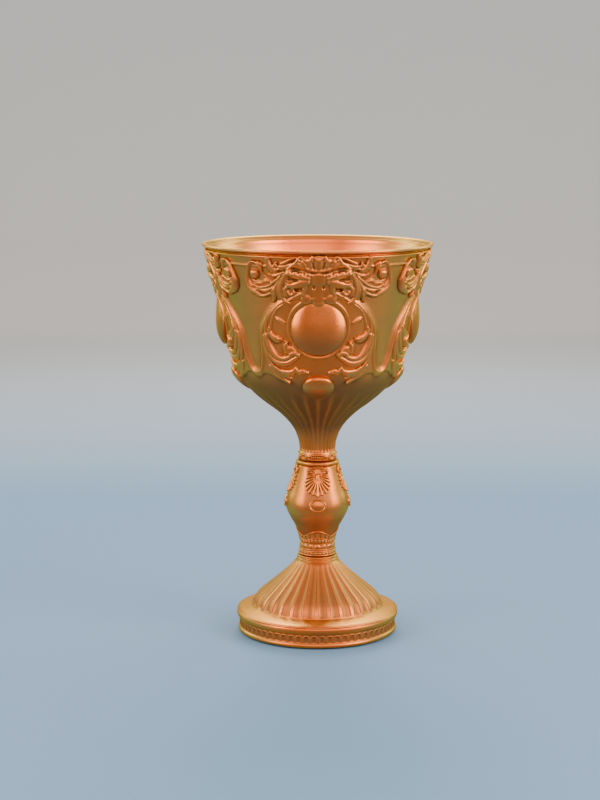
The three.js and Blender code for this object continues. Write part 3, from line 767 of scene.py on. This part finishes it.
def shell_crest(r):
    """The crest of the cartouche, at the top: a scallop shell over two folded leaves, a low middle
    panel between two ridges, drilled eyes, a tongue that hangs over the boss, and the C-scroll band
    that frames it all."""
    r.plate([(-4, 260.5), (4.5, 260), (9, 262), (14, 264), (19, 262.6), (23, 262.6), (25.6, 266),
             (26.4, 271),
             (25, 277), (22.6, 282.5), (20, 287), (15, 292), (10, 294.4), (-4, 294.6)], 1.9, 0.9)
    r.strand([(13, 293), (17, 289.6), (20.2, 286), (22.3, 282.6), (24.4, 278.6), (26, 274), (26.5, 269.4),
              (25.6, 265.2), (23.4, 262.6), (21, 261.4)],
              [0.8, 1.0, 1.1, 1.2, 1.4, 1.6, 1.8, 1.8, 1.4, 0.7], [2.0],
             1.5)
    r.strand([(20, 285.2), (21.6, 280), (22.6, 275), (22.9, 270.5), (22.0, 266.3)],
             [0.5, 0.7, 0.8, 0.8, 0.6],
             [1.4], 1.7)
    r.dome((19.6, 270.0), (3.6, 3.6), 1.1, 1.6)
    r.strand([(23.4, 267.4), (23.4, 271.4), (21, 273.8), (18.2, 273.0), (17, 270.2), (18.4, 267.8),
              (20.6, 268),
              (21.2, 270)], [1.1, 1.1, 1.1, 1.0, 1.0, 0.9, 0.8, 0.5], [1.8], 2.1)
    r.strand([(10.5, 269.6), (13.5, 268.0), (17, 266.2), (20, 264.2), (22.5, 262.6)],
             [0.6, 0.8, 0.8, 0.8, 0.6],
             [1.2], 1.9)
    r.strand([(10.6, 267.4), (14, 265.8), (17, 264.2)], [0.5, 0.7, 0.6], [0.9], 1.8)

    r.strand([(8, 277.2), (12.5, 275.9), (17, 274.7), (20.4, 275)], [2.2, 2.8, 2.4, 1.4], [2.9, 3.0, 2.6],
             2.0, 0.6)
    r.strand([(7.4, 279.8), (12, 281.2), (16.6, 282.5), (20.6, 283)], [1.9, 2.2, 1.9, 1.2],
             [2.8, 2.8, 2.5], 2.0, 0.6)
    for x, y, size in ((11.4, 283.0, 1.6), (15.4, 284.1, 1.6), (19.6, 284.2, 1.7)):
        r.dome((x, y), (size, size * 0.9), 2.2, 2.1)
    r.groove([(12.9, 284.8), (13.3, 283.0), (12.2, 281.0)], 0.5, 0.7)
    r.groove([(17.3, 285.2), (17.6, 283.4), (16.4, 281.8)], 0.5, 0.7)
    r.groove([(13, 278.6), (17, 278.7), (22, 279)], 0.8, 1.2)

    r.plate([(-8.6, 283.4), (8.6, 283.4), (10, 277), (11.4, 271), (12, 267), (8, 264), (-8, 264)], 2.5,
            1.6)
    r.strand([(7.0, 282.8), (7.9, 279), (9.0, 274.6), (10.2, 270.6), (10.9, 267.6)],
             [1.6, 1.6, 1.5, 1.4, 1.0],
             [2.2, 2.0, 2.0, 1.9], 2.0, 0.7)
    r.dome((6.9, 282.4), (1.9, 1.7), 1.2, 3.0)
    r.sink((3.3, 273.3), (0.62, 1.15), 2.6)
    r.groove([(3.3, 272), (3.2, 269.6), (3.9, 267.6)], 0.5, 0.5)
    r.groove([(1.3, 271.6), (1.5, 268.6)], 0.5, 0.35)
    r.groove([(4.4, 280), (4.6, 276.6)], 0.5, 0.35)
    r.sink((14.6, 271.3), (2.1, 0.95), 2.4)
    r.dome((8.9, 264.4), (4.2, 3.8), 1.2, 2.2, 0.6, turn=-28)
    r.dome((0, 279.2), (7.0, 4.6), 1.1, 2.4)
    r.strand([(3.2, 282.2), (3.0, 279.4), (2.6, 277)], [0.9, 0.8, 0.5], [0.7], 3.0)
    r.strand([(0, 269), (0, 266), (0, 262)], [3.4, 3.6, 3.3], [1.6, 1.9, 2.2], 1.1, 0.3)
    r.groove([(5.0, 267.4), (5.0, 264), (4.3, 260.4)], 0.5, 0.45)
    r.groove([(-4, 263.0), (0, 262.5), (4, 263.0)], 0.4, 0.3)

    r.groove([(-1, 284.2), (4, 284.3), (8, 285.4), (12, 287)], 0.7, 1.4)
    r.strand([(-2, 285.2), (3, 285.4), (7.4, 286.6), (11.4, 288.4), (15.6, 290)],
             [0.7, 0.8, 1.0, 1.2, 1.4],
             [1.4], 1.9)
    petals = (((0, 285.6), (0, 289), (0, 292.4), 2.6), ((4.6, 286), (5.4, 289), (6.2, 292.6), 1.5),
              ((7.8, 287), (9.2, 289.2), (10.4, 291.6), 1.5),
              ((11.2, 288.2), (12.9, 289.8), (14.2, 291), 1.5))
    for foot, middle, tip, width in petals:
        r.strand([foot, middle, tip], [0.6 * width, width, 0.8 * width], [1.1, 1.6, 1.6], 1.7)
    r.dome((15.4, 290), (1.6, 1.5), 1.8, 1.9)
    r.groove([(3.1, 286.4), (3.7, 289.4), (4.1, 293)], 0.5, 0.8)
    r.sink((15.4, 286.2), (3.4, 1.1), 1.2, turn=14)
    for tip in (((4.4, 292), (4.7, 294.3), (4.4, 296.5)), ((7.6, 291.4), (9.6, 293.6), (11.8, 295.0)),
                ((9.8, 291.6), (12, 292.5), (14.4, 292.6)), ((1.2, 292.6), (2.0, 294.4), (1.9, 295.8))):
        r.strand(tip, [0.8, 0.8, 0.35], [1.6, 1.5, 1.0], 1.3)
    r.strand([(11.2, 296.0), (13, 294.4), (14.4, 292.6), (15.6, 291)], [0.5, 0.8, 0.8, 0.6], [1.8], 1.5)


def leaf_sprays(r):
    """Straps and acanthus leaves that sweep out from the crest along the top of the bowl."""
    r.strand([(14.6, 295.1), (19.5, 293), (22.5, 291.4), (25, 290.1)], [0.4, 0.7, 1.0, 1.1], [1.5], 0.8)
    r.strand([(13.6, 292.8), (18, 290.4), (22, 288.6), (26, 288.0), (30, 289.4)],
             [0.6, 0.8, 0.9, 0.9, 0.7],
             [1.7], 0.8)
    r.strand([(20.6, 287.6), (24, 286.6), (27, 286.3), (30, 285.2)], [0.6, 0.9, 0.9, 0.8], [1.6], 0.7)
    r.strand([(29.4, 285.2), (32.4, 287.2), (34, 290.4), (33.9, 293.2), (33.4, 294.9)],
             [1.7, 2.4, 2.0, 1.5, 0.8],
             [2.6], 0.5)
    r.strand([(33.4, 294.9), (35.2, 294), (36.1, 291.6), (35.7, 290)], [0.6, 0.9, 0.7, 0.3], [1.9], 0.5)
    r.strand([(30.4, 287.6), (29.2, 289.4), (28.5, 291.5)], [1.2, 1.0, 0.4], [2.1], 0.5)
    r.dome((30.2, 285.4), (1.9, 1.3), 2.2, 0.5)
    r.dome((33.2, 286.4), (2.3, 1.6), 2.3, 0.5)
    r.strand([(23.5, 284.4), (27, 282.7), (30.6, 281.5), (34.6, 282.6)], [0.6, 1.0, 1.3, 0.6], [1.9], 0.3)
    r.groove([(25.5, 283.4), (29, 282.3), (32.5, 282.2)], 0.4, 0.5)

    for path in (((26, 281.5), (27.6, 276.5), (28.4, 270), (28.6, 264.6)),
                 ((27.5, 279.5), (30, 272.5), (32, 266.5), (33.2, 262.6)),
                 ((29, 277), (31.4, 271.5), (34, 267.8))):
        r.strand(path, [0.5, 1.2, 1.9, 1.3], [1.6, 2.2, 2.8, 2.6], 0.7, ribs=1)


def big_scroll(r):
    """The running scroll beside the crest: four long strands that roll up into an open volute with an
    eye."""
    r.plate([(26, 281.5), (32, 278.6), (37, 281), (40.5, 286.5), (45, 290.4), (49, 288.6), (51.6, 283),
             (52, 276), (49.6, 270.5), (44, 267), (38, 267.5), (33, 270.5), (29, 275)], 0.9, 0.9)
    r.strand([(24.6, 283), (28, 279.6), (31.5, 276.6), (35, 274.2), (39, 272.8), (44, 272.5),
              (47.5, 274.4)],
             [0.5, 0.9, 1.1, 1.1, 1.2, 1.1, 0.8], [1.8, 2.6, 2.8, 2.8], 0.4)
    r.strand([(29.4, 275.8), (32.5, 272.8), (36, 270.9), (40, 270.3), (46, 271)],
             [0.5, 0.9, 1.1, 1.2, 1.0],
             [1.8, 2.4, 2.5, 2.4], 0.4)
    r.strand([(31.4, 272), (34, 269.2), (37.5, 267.2), (41.3, 266.3), (45, 266.8), (48.5, 269.4)],
             [0.5, 1.0, 1.2, 1.3, 1.3, 0.9], [1.8, 2.5, 2.6, 2.5], 0.3)
    r.strand([(34, 277), (37.5, 277.6), (41, 275.8), (45.5, 275.6)], [0.5, 0.8, 0.9, 0.6], [1.2], 0.9)
    r.strand([(44, 267.2), (49.4, 270.4), (52.0, 275.5), (51.8, 280.5), (50.6, 285), (49.3, 288.6),
              (46.9, 290.9),
              (44.2, 290.9), (41.6, 288.8), (40.2, 285.8), (40.3, 283)],
             [1.3, 2.5, 2.9, 2.3, 1.4, 0.9, 0.9, 0.9, 0.9, 0.9, 0.6], [2.9, 3.6, 3.5, 2.6, 2.3, 2.3, 2.2],
             0.3)
    r.groove([(47, 270.4), (50, 273.2), (51.2, 277.6), (50.6, 282)], 0.6, 0.7)
    r.groove([(45.6, 286.8), (42.6, 284.4), (42.2, 280.8), (44.4, 278.2), (47.6, 278.4), (49.4, 281)],
             1.1, 0.6)
    r.dome((46.2, 282.3), (3.6, 3.4), 3.1, 0.4, 0.6)
    r.strand([(43.9, 284), (44, 281.4), (46, 279.9), (48.2, 280.7)], [0.5, 0.8, 0.9, 0.6], [1.2], 2.1)
    r.strand([(38.6, 288.6), (40.6, 290.2), (42, 291.4)], [0.5, 0.9, 0.5], [1.6], 0.6)


def lower_scrolls(r):
    """Below the crest: long stems down both sides of the boss, ending in curls, and the large C-scroll
    that cradles it, with a ribbed leaf underneath."""
    r.plate([(15, 220.5), (19, 226), (23, 232.5), (27, 235), (33, 236.5), (39, 243), (43, 238.5),
             (45.2, 230),
             (42, 220), (36, 214.5), (28, 213.5), (20, 216.5)], 1.75, 1.0)
    r.strand([(26.5, 260), (30.6, 257), (34.2, 252.4), (36.6, 247), (38.4, 241.6)],
             [0.5, 0.6, 0.7, 0.8, 0.9],
             [0.8, 1.0, 1.2, 1.6], 1.3)
    r.strand([(38.4, 242.5), (38.6, 239), (36.6, 236.3), (33, 234.2), (29.6, 234.7)],
             [0.9, 1.3, 1.7, 1.9, 0.9],
             [1.8, 2.2, 2.4, 2.2], 1.3)
    r.strand([(36.5, 256), (39.6, 250.5), (41.6, 244.5), (42.4, 239), (42.6, 235)],
             [0.4, 0.6, 0.7, 0.9, 1.1],
             [0.7, 1.0, 1.4, 2.0], 1.3)
    r.dome((31, 249), (5.4, 2.6), 0.6, 1.3, 0.9, turn=20)
    r.strand([(26.6, 246.8), (29.4, 247.8), (33, 249.6)], [1.0, 1.1, 0.5], [0.9], 1.4)
    r.sink((33.6, 249.0), (1.5, 0.7), 1.1, turn=-15)
    r.dome((33.4, 235.6), (3.6, 2.2), 1.9, 1.5, 0.7, turn=-12)

    r.strand([(41.9, 237), (41.4, 231.5), (38.9, 226), (34.4, 221.2), (29, 219.6), (24.6, 221),
              (21.4, 223.6),
              (18, 224.2)], [1.0, 1.7, 1.7, 1.6, 1.5, 1.5, 1.5, 1.2], [2.2, 2.7, 2.8, 2.7, 2.6], 1.3)
    r.strand([(44.4, 236.4), (44.5, 230), (41.9, 223.4), (37.4, 218.4), (31.5, 216.4), (25.2, 216.8),
              (20.2, 219.6),
              (16.6, 221.4)], [0.9, 1.4, 1.4, 1.3, 1.4, 1.4, 1.2, 0.8], [1.8, 2.3, 2.5, 2.6, 2.3], 1.2)
    r.groove([(43, 236), (43, 230.6), (40.4, 224.8), (36, 219.9), (30.4, 218.1), (25, 218.9),
              (20, 221.6)], 0.5, 0.6)
    r.dome((16.4, 222.9), (2.5, 2.4), 3.0, 1.3)
    r.strand([(19.6, 225.4), (22.4, 227), (24.6, 226.4)], [1.6, 1.8, 1.4], [2.0], 1.4)
    r.strand([(22.4, 225.4), (25.6, 226.2), (26.2, 229), (24.9, 231.8)], [1.0, 1.6, 1.6, 0.8],
             [2.2, 2.6, 2.4], 1.4)
    r.sink((27, 223.2), (3.0, 1.2), 1.1, turn=8)
    r.strand([(46, 232), (45.6, 226.4), (43.9, 221), (41.2, 216.4), (38, 213.2), (35.6, 212.4)],
             [0.5, 0.8, 0.8, 0.8, 0.8, 0.5], [1.6, 1.9, 1.9], 1.0)

    r.plate([(19, 211), (24, 209.8), (30, 211), (36, 212.6), (41, 214.8), (43, 213.2), (38, 207),
             (32, 203.4),
             (26.4, 200.8), (24, 203.5), (20, 206.5)], 1.35, 1.0)
    r.strand([(36.6, 212.6), (32.6, 210.4), (28.4, 209.4), (24, 209.3), (20.8, 210.7), (19.4, 213)],
             [0.8, 1.0, 1.4, 1.6, 1.4, 0.8], [1.8, 2.2, 2.6, 2.4], 1.1)
    r.strand([(40.6, 213.8), (36.8, 210.2), (32.6, 207.8), (28.4, 206.7), (25, 207)],
             [0.7, 0.9, 1.0, 1.0, 0.7],
             [1.5], 1.2)
    r.strand([(42.8, 214.4), (38.6, 208.6), (34, 205.4), (30, 203.3), (26.2, 201.4)],
             [0.6, 0.9, 1.0, 1.0, 0.6],
             [1.6], 1.0)
    r.dome((25.4, 205.1), (2.9, 1.2), 1.9, 1.1)
    r.strand([(9.2, 209.6), (13, 210.3), (16.6, 209.9), (19.4, 212)], [0.9, 1.3, 1.2, 1.0], [1.9], 1.0)
    r.dome((10, 209.8), (1.6, 1.3), 2.1, 1.0)
    r.groove([(11.6, 211.4), (14, 210.2), (16, 211.2)], 0.5, 0.5)


BOSS_MIDDLE, BOSS_RADII = 243, (20.0, 20.0)
DROP_MIDDLE, DROP_RADII = 197.4, (11.5, 9.4)


def bezel(r, radius=20.9, spread=1.045):
    """The ring that holds the boss: two rounded ridges with a furrow between them. It is drawn a little
    wider than high, as the wall leans."""
    turn = np.linspace(-QUARTER - 0.2, QUARTER + 0.2, 40)
    for size, width, height in ((radius + 1.2, 1.35, 1.9), (radius - 0.4, 0.5, 1.2)):
        ring = np.stack([spread * size * np.cos(turn), BOSS_MIDDLE + size * np.sin(turn)], axis=1)
        r.strand(ring, [width], [height], 1.3)


def cartouches():
    """One relief, cast four times. Each part of it has its own width, height and roundness of strand."""
    relief = Relief(np.arange(0, 55.4, 0.42), np.arange(199.0, 297.6, 0.42))
    bezel(relief)
    relief.spread, relief.rise, relief.crown = 1.9, 1.15, 0.5
    lower_scrolls(relief)
    relief.spread, relief.rise, relief.crown = 1.25, 0.95, 0.65
    leaf_sprays(relief)
    big_scroll(relief)
    shell_crest(relief)
    relief.soften(0.7)
    for turn, side in enumerate(SIDES):
        casting(f"cartouche_{side}", BOWL, BOWL_REACH, relief, turn * QUARTER)


def bosses():
    """The round boss and the oval drop below it. Both are domes that stand nearer upright than the
    wall."""
    def boss(u, v):
        return 2.6 + 4.2 * (1 - u * u)**0.6 - 4.6 * v * (1 - 0.55 * v * v)

    def drop(u, v):
        return 0.6 + 4.6 * (1 - u * u)**0.5 + 2.0 * v * (1 - 0.5 * v * v)

    # The lower halves of the boss and the drop carry painted shade.
    for turn, side in enumerate(SIDES):
        disc_on_wall(f"boss_{side}", BOWL, BOSS_MIDDLE, BOSS_RADII, boss, turn * QUARTER,
                     columns=128, tarnish=0.28)
        disc_on_wall(f"drop_{side}", BOWL, DROP_MIDDLE, DROP_RADII, drop, turn * QUARTER,
                     back=0.1, tarnish=0.5)


# ---- the collar and the knop ---------------------------------------------------------------------

STEM_REACH = 20.0                  # radius at which the stem's ornament is measured
KNOP_FOOT, KNOP_TOP = 69.4, 130.3
CALYX_FOOT = 69.7
PEARL_ROW = 137.2                  # height of the collar's pearls
MEDALLION_MIDDLE, MEDALLION_RADII = 101.9, (6.9, 4.9)


def whole_round(relief):
    """A relief worked out for an eighth turn, x from 0 to its edge, reflected and repeated round the
    axis."""
    x, height = relief.mirrored()
    quarter = height[:, :-1]
    angle = x[:-1] * (QUARTER / (2 * x[-1]))
    around = np.concatenate([angle + turn * QUARTER for turn in range(4)])
    return around, np.tile(quarter, (1, 4))


def collar_gallery():
    """The swelling collar under the bowl: at each side a long oval frame round a row of small pearls in a
    sunk slot, and a smaller oval frame between two of them."""
    eighth = STEM_REACH * QUARTER / 2
    relief = Relief(np.linspace(0, eighth, 110), np.linspace(134.3, 141.1, 48), floor=0.0)
    relief.spread, relief.rise = 1.0, 1.0
    turn = np.linspace(-QUARTER, QUARTER, 30)
    relief.strand(np.stack([10.0 * np.cos(turn), PEARL_ROW + 2.1 * np.sin(turn)], axis=1), [0.62], [0.75],
                  0.05)
    relief.sink((0, PEARL_ROW), (8.6, 1.1), 0.8, 0.2)
    for x in (0.0, 2.3, 4.6, 6.8):
        relief.dome((x, PEARL_ROW), (0.8, 0.9), 0.75, -0.5)
    relief.strand(np.stack([eighth - 3.4 * np.cos(turn), 137.3 + 1.8 * np.sin(turn)], axis=1), [0.5],
                  [0.6], 0.05)
    relief.sink((eighth, 137.3), (2.2, 0.8), 0.35, 0.25)
    angle, height = whole_round(relief)
    z = relief.y[:, :1]
    outer = 13.5 + 1.1 * bump((z - 137.7) / 3.6, 0.8) + height
    wide = np.ones((1, len(angle)))
    inner = np.array([(SOCKET, 141.1), (SOCKET, 136.2), (ROD_BORE, 136.2), (ROD_BORE, 135.7),
                      (SOCKET, 135.7),
                      (SOCKET, 134.3)])
    radius = np.concatenate([outer, inner[:, :1] * wide])
    level = np.concatenate([z * wide, inner[:, 1:] * wide])
    # Darker in the sunk slot and round the pearls, patina and painted shade; lighter on the crests.
    hollow = np.concatenate([hollow_of(height, 3.0, 0.45, wrap=True), PLAIN * np.ones((6, len(angle)))])
    ring_surface("collar_gallery", radius, angle[None, :], level, COPPER_GOLD, hollow)


def collar_ring():
    """The half-round ring under the collar."""
    section = np.concatenate([arc(15.0, 132.3, 1.5, -90, 90, 16), [(SOCKET, 133.8), (SOCKET, 130.6)]])
    turned_ring("collar_ring", section, 120, COPPER_GOLD)


def knop():
    """The plain urn of the knop, with its spigot and bore; darker below the belly, a painted shade, and
    darker round its ornament."""
    z = np.linspace(KNOP_FOOT, KNOP_TOP, 70)
    outside = np.stack([KNOP.radius(z), z], axis=1)
    inside = [(9, KNOP_TOP), (9, 135.3), (ROD_BORE, 135.3), (ROD_BORE, 124.3), (19, 110), (21, 100),
              (14, 84),
              (ROD_BORE, 75), (ROD_BORE, KNOP_FOOT)]
    section = np.concatenate([outside, inside])
    angle = all_round(240)
    beside = np.abs(np.degrees(angle + QUARTER / 2) % 90 - 45) * math.radians(1) * STEM_REACH
    r, z = section[:, :1], section[:, 1:]
    # Painted shade below the belly, where the urn turns down; darker round the ornament.
    near_ornament = smoothstep(11.5, 7.5, beside) * smoothstep(97, 102, z)
    hollow = PLAIN + 0.32 * smoothstep(97, 86, z) + 0.3 * near_ornament
    ring_surface("knop", r, angle, z, COPPER_GOLD, hollow)


def knop_leaves():
    """A palmette on each side of the shoulder: two volutes with drilled slits, over a fan of ribs that
    spread from one root to a lobed edge."""
    relief = Relief(np.arange(0, 12.2, 0.18), np.arange(106.8, 131.0, 0.18), floor=-0.5)
    relief.spread, relief.rise = 1.05, 1.0
    relief.plate([(-3, 109.6), (0, 109.0), (4, 110.2), (7.4, 112.6), (9.6, 116), (10.2, 120), (9.8, 124),
                  (9.6, 128.6), (6, 130), (-3, 130.2)], 0.5, 0.5)
    root = np.array([0.0, 123.4])
    for turn, length, width in ((-90, 14.6, 1.15), (-76, 14.0, 0.95), (-62, 13.6, 1.0), (-48, 12.9, 1.05),
                                (-33, 12.0, 1.1), (-17, 11.0, 1.1), (0, 10.2, 0.9)):
        way = np.array([math.cos(math.radians(turn)), math.sin(math.radians(turn))])
        droop = np.array([0.0, -1.0]) * (1 + math.sin(math.radians(turn)))
        path = [root + way * 3.0, root + way * length * 0.62, root + way * (length - 0.8) + droop]
        relief.strand(path, [0.45 * width, 0.8 * width, width], [0.9, 1.3, 1.2], 0.4)
    relief.dome((0, 122.6), (2.0, 3.2), 1.0, 0.4)
    relief.strand([(-1, 130.0), (4, 129.8), (8.4, 129.2), (10.2, 127.4)], [0.7, 0.7, 0.7, 0.5], [1.3],
                  0.4)
    relief.strand([(1.6, 125.6), (3.4, 127.9), (6.4, 128.3), (9, 127.4), (9.4, 125.6), (7.4, 124.7),
                   (4.4, 124.9)], [0.5, 0.7, 0.7, 0.7, 0.7, 0.6, 0.5], [1.3], 0.4)
    relief.sink((5.8, 126.4), (2.2, 0.75), 1.1)
    relief.sink((2.0, 123.6), (0.7, 1.4), 0.7)
    relief.soften(0.8)
    for turn, side in enumerate(SIDES):
        casting(f"knop_leaf_{side}", KNOP, STEM_REACH, relief, turn * QUARTER, back=-0.3,
                blend=(4.0, 0.5))


def knop_medallions():
    """A round medallion on each side of the belly: a thin raised rim round a low dome."""
    def medallion(u, v):
        return 0.2 + 0.7 * (1 - u * u) + 0.9 * bump((u - 0.87) / 0.12, 0.5)

    for turn, side in enumerate(SIDES):
        disc_on_wall(f"knop_medallion_{side}", KNOP, MEDALLION_MIDDLE, MEDALLION_RADII, medallion,
                     turn * QUARTER, back=-0.3, rings=40)


def knop_calyx():
    """A cup of leaves round the foot of the knop: its edge rises to 80.5 at each side of the cup and
    sinks to 76 between, with a double rolled lip, ribs that open upwards, and a row of buds at the
    bottom."""
    columns, rows = 288, 44
    angle = all_round(columns)
    top = 76.0 + 4.6 * np.abs(np.cos(2 * angle))**1.4
    t = np.linspace(0, 1, rows)[:, None]
    z = CALYX_FOOT + (top - CALYX_FOOT) * t
    ribs = 0.65 * np.abs(np.cos(12 * angle))**0.8 * bump((t - 0.62) / 0.26)
    buds = 0.7 * np.abs(np.sin(16 * angle))**0.7 * bump((t - 0.2) / 0.15)
    lip = 0.8 * bump((t - 0.94) / 0.07, 0.5) + 0.4 * bump((t - 0.4) / 0.05, 0.5)
    height = 0.3 + ribs + lip + buds
    wide = np.ones((1, columns))
    radius = np.concatenate([KNOP.radius(z) + height, KNOP.radius(top) - 0.3,
                             KNOP.radius(CALYX_FOOT) * wide - 0.3])
    level = np.concatenate([z, top, CALYX_FOOT * wide])
    # Darker between the ribs and buds, patina and painted shade; lighter on the crests.
    hollow = np.concatenate([hollow_of(height, 3.0, 0.35, wrap=True), PLAIN * np.ones((2, columns))])
    ring_surface("knop_calyx", radius, angle, level, COPPER_GOLD, hollow)


def stem_beads():
    """The two carved rings under the knop: the upper one a band of leaf tips that goes on from the
    calyx, the lower one a row of eyes between two wires."""
    columns = 384
    angle = all_round(columns)
    wide = np.ones((1, columns))
    t = np.linspace(0, 1, 26)[:, None]
    leaf = 0.75 * bump((t - 0.52 - 0.12 * np.cos(16 * angle)) / 0.34) * np.abs(np.cos(8 * angle))**0.6
    leaves = leaf + 0.45 * bump((t - 0.06) / 0.08, 0.5) * wide
    eyes = 0.6 * bump((t - 0.5) / 0.2) * np.abs(np.sin(14 * angle))**0.8
    wires = 0.9 * (bump((t - 0.14) / 0.13, 0.5) + bump((t - 0.86) / 0.13, 0.5)) * wide
    for name, foot, height, radius, relief in (("stem_bead_upper", 64.7, 4.9, 13.1, leaves),
                                               ("stem_bead_lower", 60.3, 4.3, 13.6, eyes + wires)):
        inner = np.array([(ROD_BORE, foot + height), (ROD_BORE, foot)])
        level = np.concatenate([foot + height * t * wide, inner[:, 1:] * wide])
        # Darker between the leaves, eyes and wires, patina and painted shade; lighter on the crests.
        hollow = np.concatenate([hollow_of(relief, 3.0, 0.4, wrap=True), PLAIN * np.ones((2, columns))])
        ring_surface(name, np.concatenate([radius + relief, inner[:, :1] * wide]), angle, level,
                     COPPER_GOLD,
                     hollow)


# ---- the foot ------------------------------------------------------------------------------------

FLUTES, FILLET = 32, 1.45          # how many, and half the width of the flat fillet between two, in degrees
FLUTE_DEPTH = 0.026                # as a share of the radius
ARCHES = 64
BAND_RADIUS = 59.9
NICHE_SPRING, NICHE_HALF = 8.0, 1.7     # height where a niche's round head starts, and half its width


def foot():
    """Fluted trumpet: a flat flange with a rounded edge, then a bell-shaped cone with 32 concave flutes
    between flat fillets, and a plain ring under the stem. A flute's section is a circular arc across
    its width. The flutes are painted darker, patina and painted shade, with a thin line of painted
    shade beside each fillet."""
    period, start = 360 / FLUTES, 1.5
    across_one = (-FILLET, -1.1, 0, 1.1, FILLET, 1.6, 1.9, 2.5, 3.7, period / 2, 7.55, 8.75, 9.35, 9.65)
    offsets = np.array(across_one) - start
    angle = np.radians((np.arange(FLUTES)[:, None] * period + offsets[None, :]).ravel())[None, :]
    edge = smooth_path([(57.4, 16.65), (60.6, 16.65), (61.9, 16.7), (62.1, 16.9), (61.9, 17.3),
                        (61.3, 17.75),
                        (60.4, 18.1)], 3)
    flange = np.stack([np.linspace(59.6, 50.9, 9), np.linspace(18.4, 20.1, 9)], axis=1)
    cone = smooth_path([(50.2, 20.4), (49.9, 21.4), (49.2, 23.6), (47.6, 26.6), (44.5, 30.3),
                        (36.6, 36.8),
                        (28, 44), (21.4, 50), (17.6, 54), (15.7, 55.6)], 6)
    ring = smooth_path([(15.4, 55.9), (16.0, 56.3), (16.0, 56.9), (15.1, 57.5), (14.9, 58.0),
                        (15.5, 58.5),
                        (15.6, 59.1), (15.1, 59.6), (14.3, 59.8)], 3)
    inside = np.array([(ROD_BORE, 60), (ROD_BORE, 52), (15.2, 50), (42, 26.5), (55.4, 13.4),
                       (57.4, 13.4)])
    section = np.concatenate([edge, flange, cone, ring, inside])
    across = np.abs((np.degrees(angle) + start + period / 2) % period - period / 2)
    into = np.clip((across - FILLET) / (period / 2 - FILLET), 0, 1)
    channel = np.sqrt(1 - (1 - into)**2) * (0.75 + 0.25 * into)
    z, r = section[:, 1:], section[:, :1]
    outer = (np.arange(len(section)) < len(section) - len(inside))[:, None]
    depth = FLUTE_DEPTH * r * smoothstep(20.3, 22.8, z) * (1 - smoothstep(52, 55.4, z)) * outer
    radius = r - depth * channel
    # Painted shade: a thin dark line beside each fillet, where the flute's side turns from the light, and
    # the flutes darker than the fillets.
    edge_line = np.exp(-((across - FILLET - 0.3) / 0.3)**2)
    hollow = 0.5 + (0.5 * (channel - 0.32) + 0.6 * edge_line) * np.minimum(depth, 1) - 0.3 * (z < 20.3)
    hollow = np.clip(hollow, 0, 1)
    ring_surface("foot", radius, angle, z, COPPER_GOLD, hollow)


def foot_gallery():
    """The base ring: a rounded upper bead, a sunk band with small round-headed arches, and a lower
    bead. An arch is a raised rib just outside a niche shaped like a slot with a half-round top."""
    per_arch, band_rows = 12, 30
    angle = all_round(ARCHES * per_arch)
    lower = smooth_path([(59.2, 0.9), (60.5, 1.2), (61.1, 2.2), (61.0, 3.4), (60.5, 4.2), (59.9, 4.6)], 3)
    upper = smooth_path([(60.1, 11.3), (61.1, 11.7), (61.9, 12.8), (62.2, 14.2), (62.1, 15.5),
                         (61.5, 16.4),
                         (60.8, 16.6)], 4)
    band = np.stack([np.full(band_rows, BAND_RADIUS), np.linspace(4.9, 11.1, band_rows)], axis=1)
    inner = np.array([(57.8, 16.6), (57.8, 12.8), (55, 12.8), (55, 5), (58.3, 5), (58.3, 0.9)])
    section = np.concatenate([lower, band, upper, inner])
    z, r = section[:, 1:], section[:, :1]
    period = 360 / ARCHES
    x = (np.degrees(angle) % period - period / 2) * math.radians(1) * 60.4
    outside_niche = np.where(z < NICHE_SPRING, np.abs(x), np.hypot(x, z - NICHE_SPRING)) - NICHE_HALF
    rib = 0.4 * bump((outside_niche - 0.45) / 0.5, 0.6)
    niche = -0.35 * smoothstep(0.1, -0.6, outside_niche)
    row = np.arange(len(section))[:, None] - len(lower)
    on_band = (row >= 0) & (row < band_rows)
    relief = (rib + niche) * on_band * smoothstep(4.8, 5.4, z)
    # Painted shade on the whole sunk band under the upper bead, darker in the niches, with patina.
    darkened = np.clip(hollow_of(relief, 2.5, 0.6, wrap=True) * 0.6 + PLAIN, 0, 1)
    hollow = np.where(on_band, darkened, PLAIN)
    ring_surface("foot_gallery", r + relief, angle, z, COPPER_GOLD, hollow)


def base_pad():
    """The felt disc, with its edges rounded."""
    edge, size, thick = 56.9, 0.5, 2.1
    section = np.concatenate([[(0, 0), (30, 0)], arc(edge, size, size, -90, 0, 5),
                              arc(edge, thick - size, size, 0, 90, 5), [(30, thick), (0, thick)]])
    turned_solid("base_pad", section, 120, BLACK_FELT)


# ---- assembly ------------------------------------------------------------------------------------

bowl_liner()
bowl_shell()
rim_bead()
cartouches()
bosses()
collar_gallery()
collar_ring()
knop()
knop_leaves()
knop_medallions()
knop_calyx()
stem_beads()
foot()
foot_gallery()
base_pad()

for node in ("tie_rod", "top_washer", "top_nut", "base_plate", "bottom_washer", "bottom_nut"):
    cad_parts[node].material_slots[0].material = PLAIN_STEEL[0]
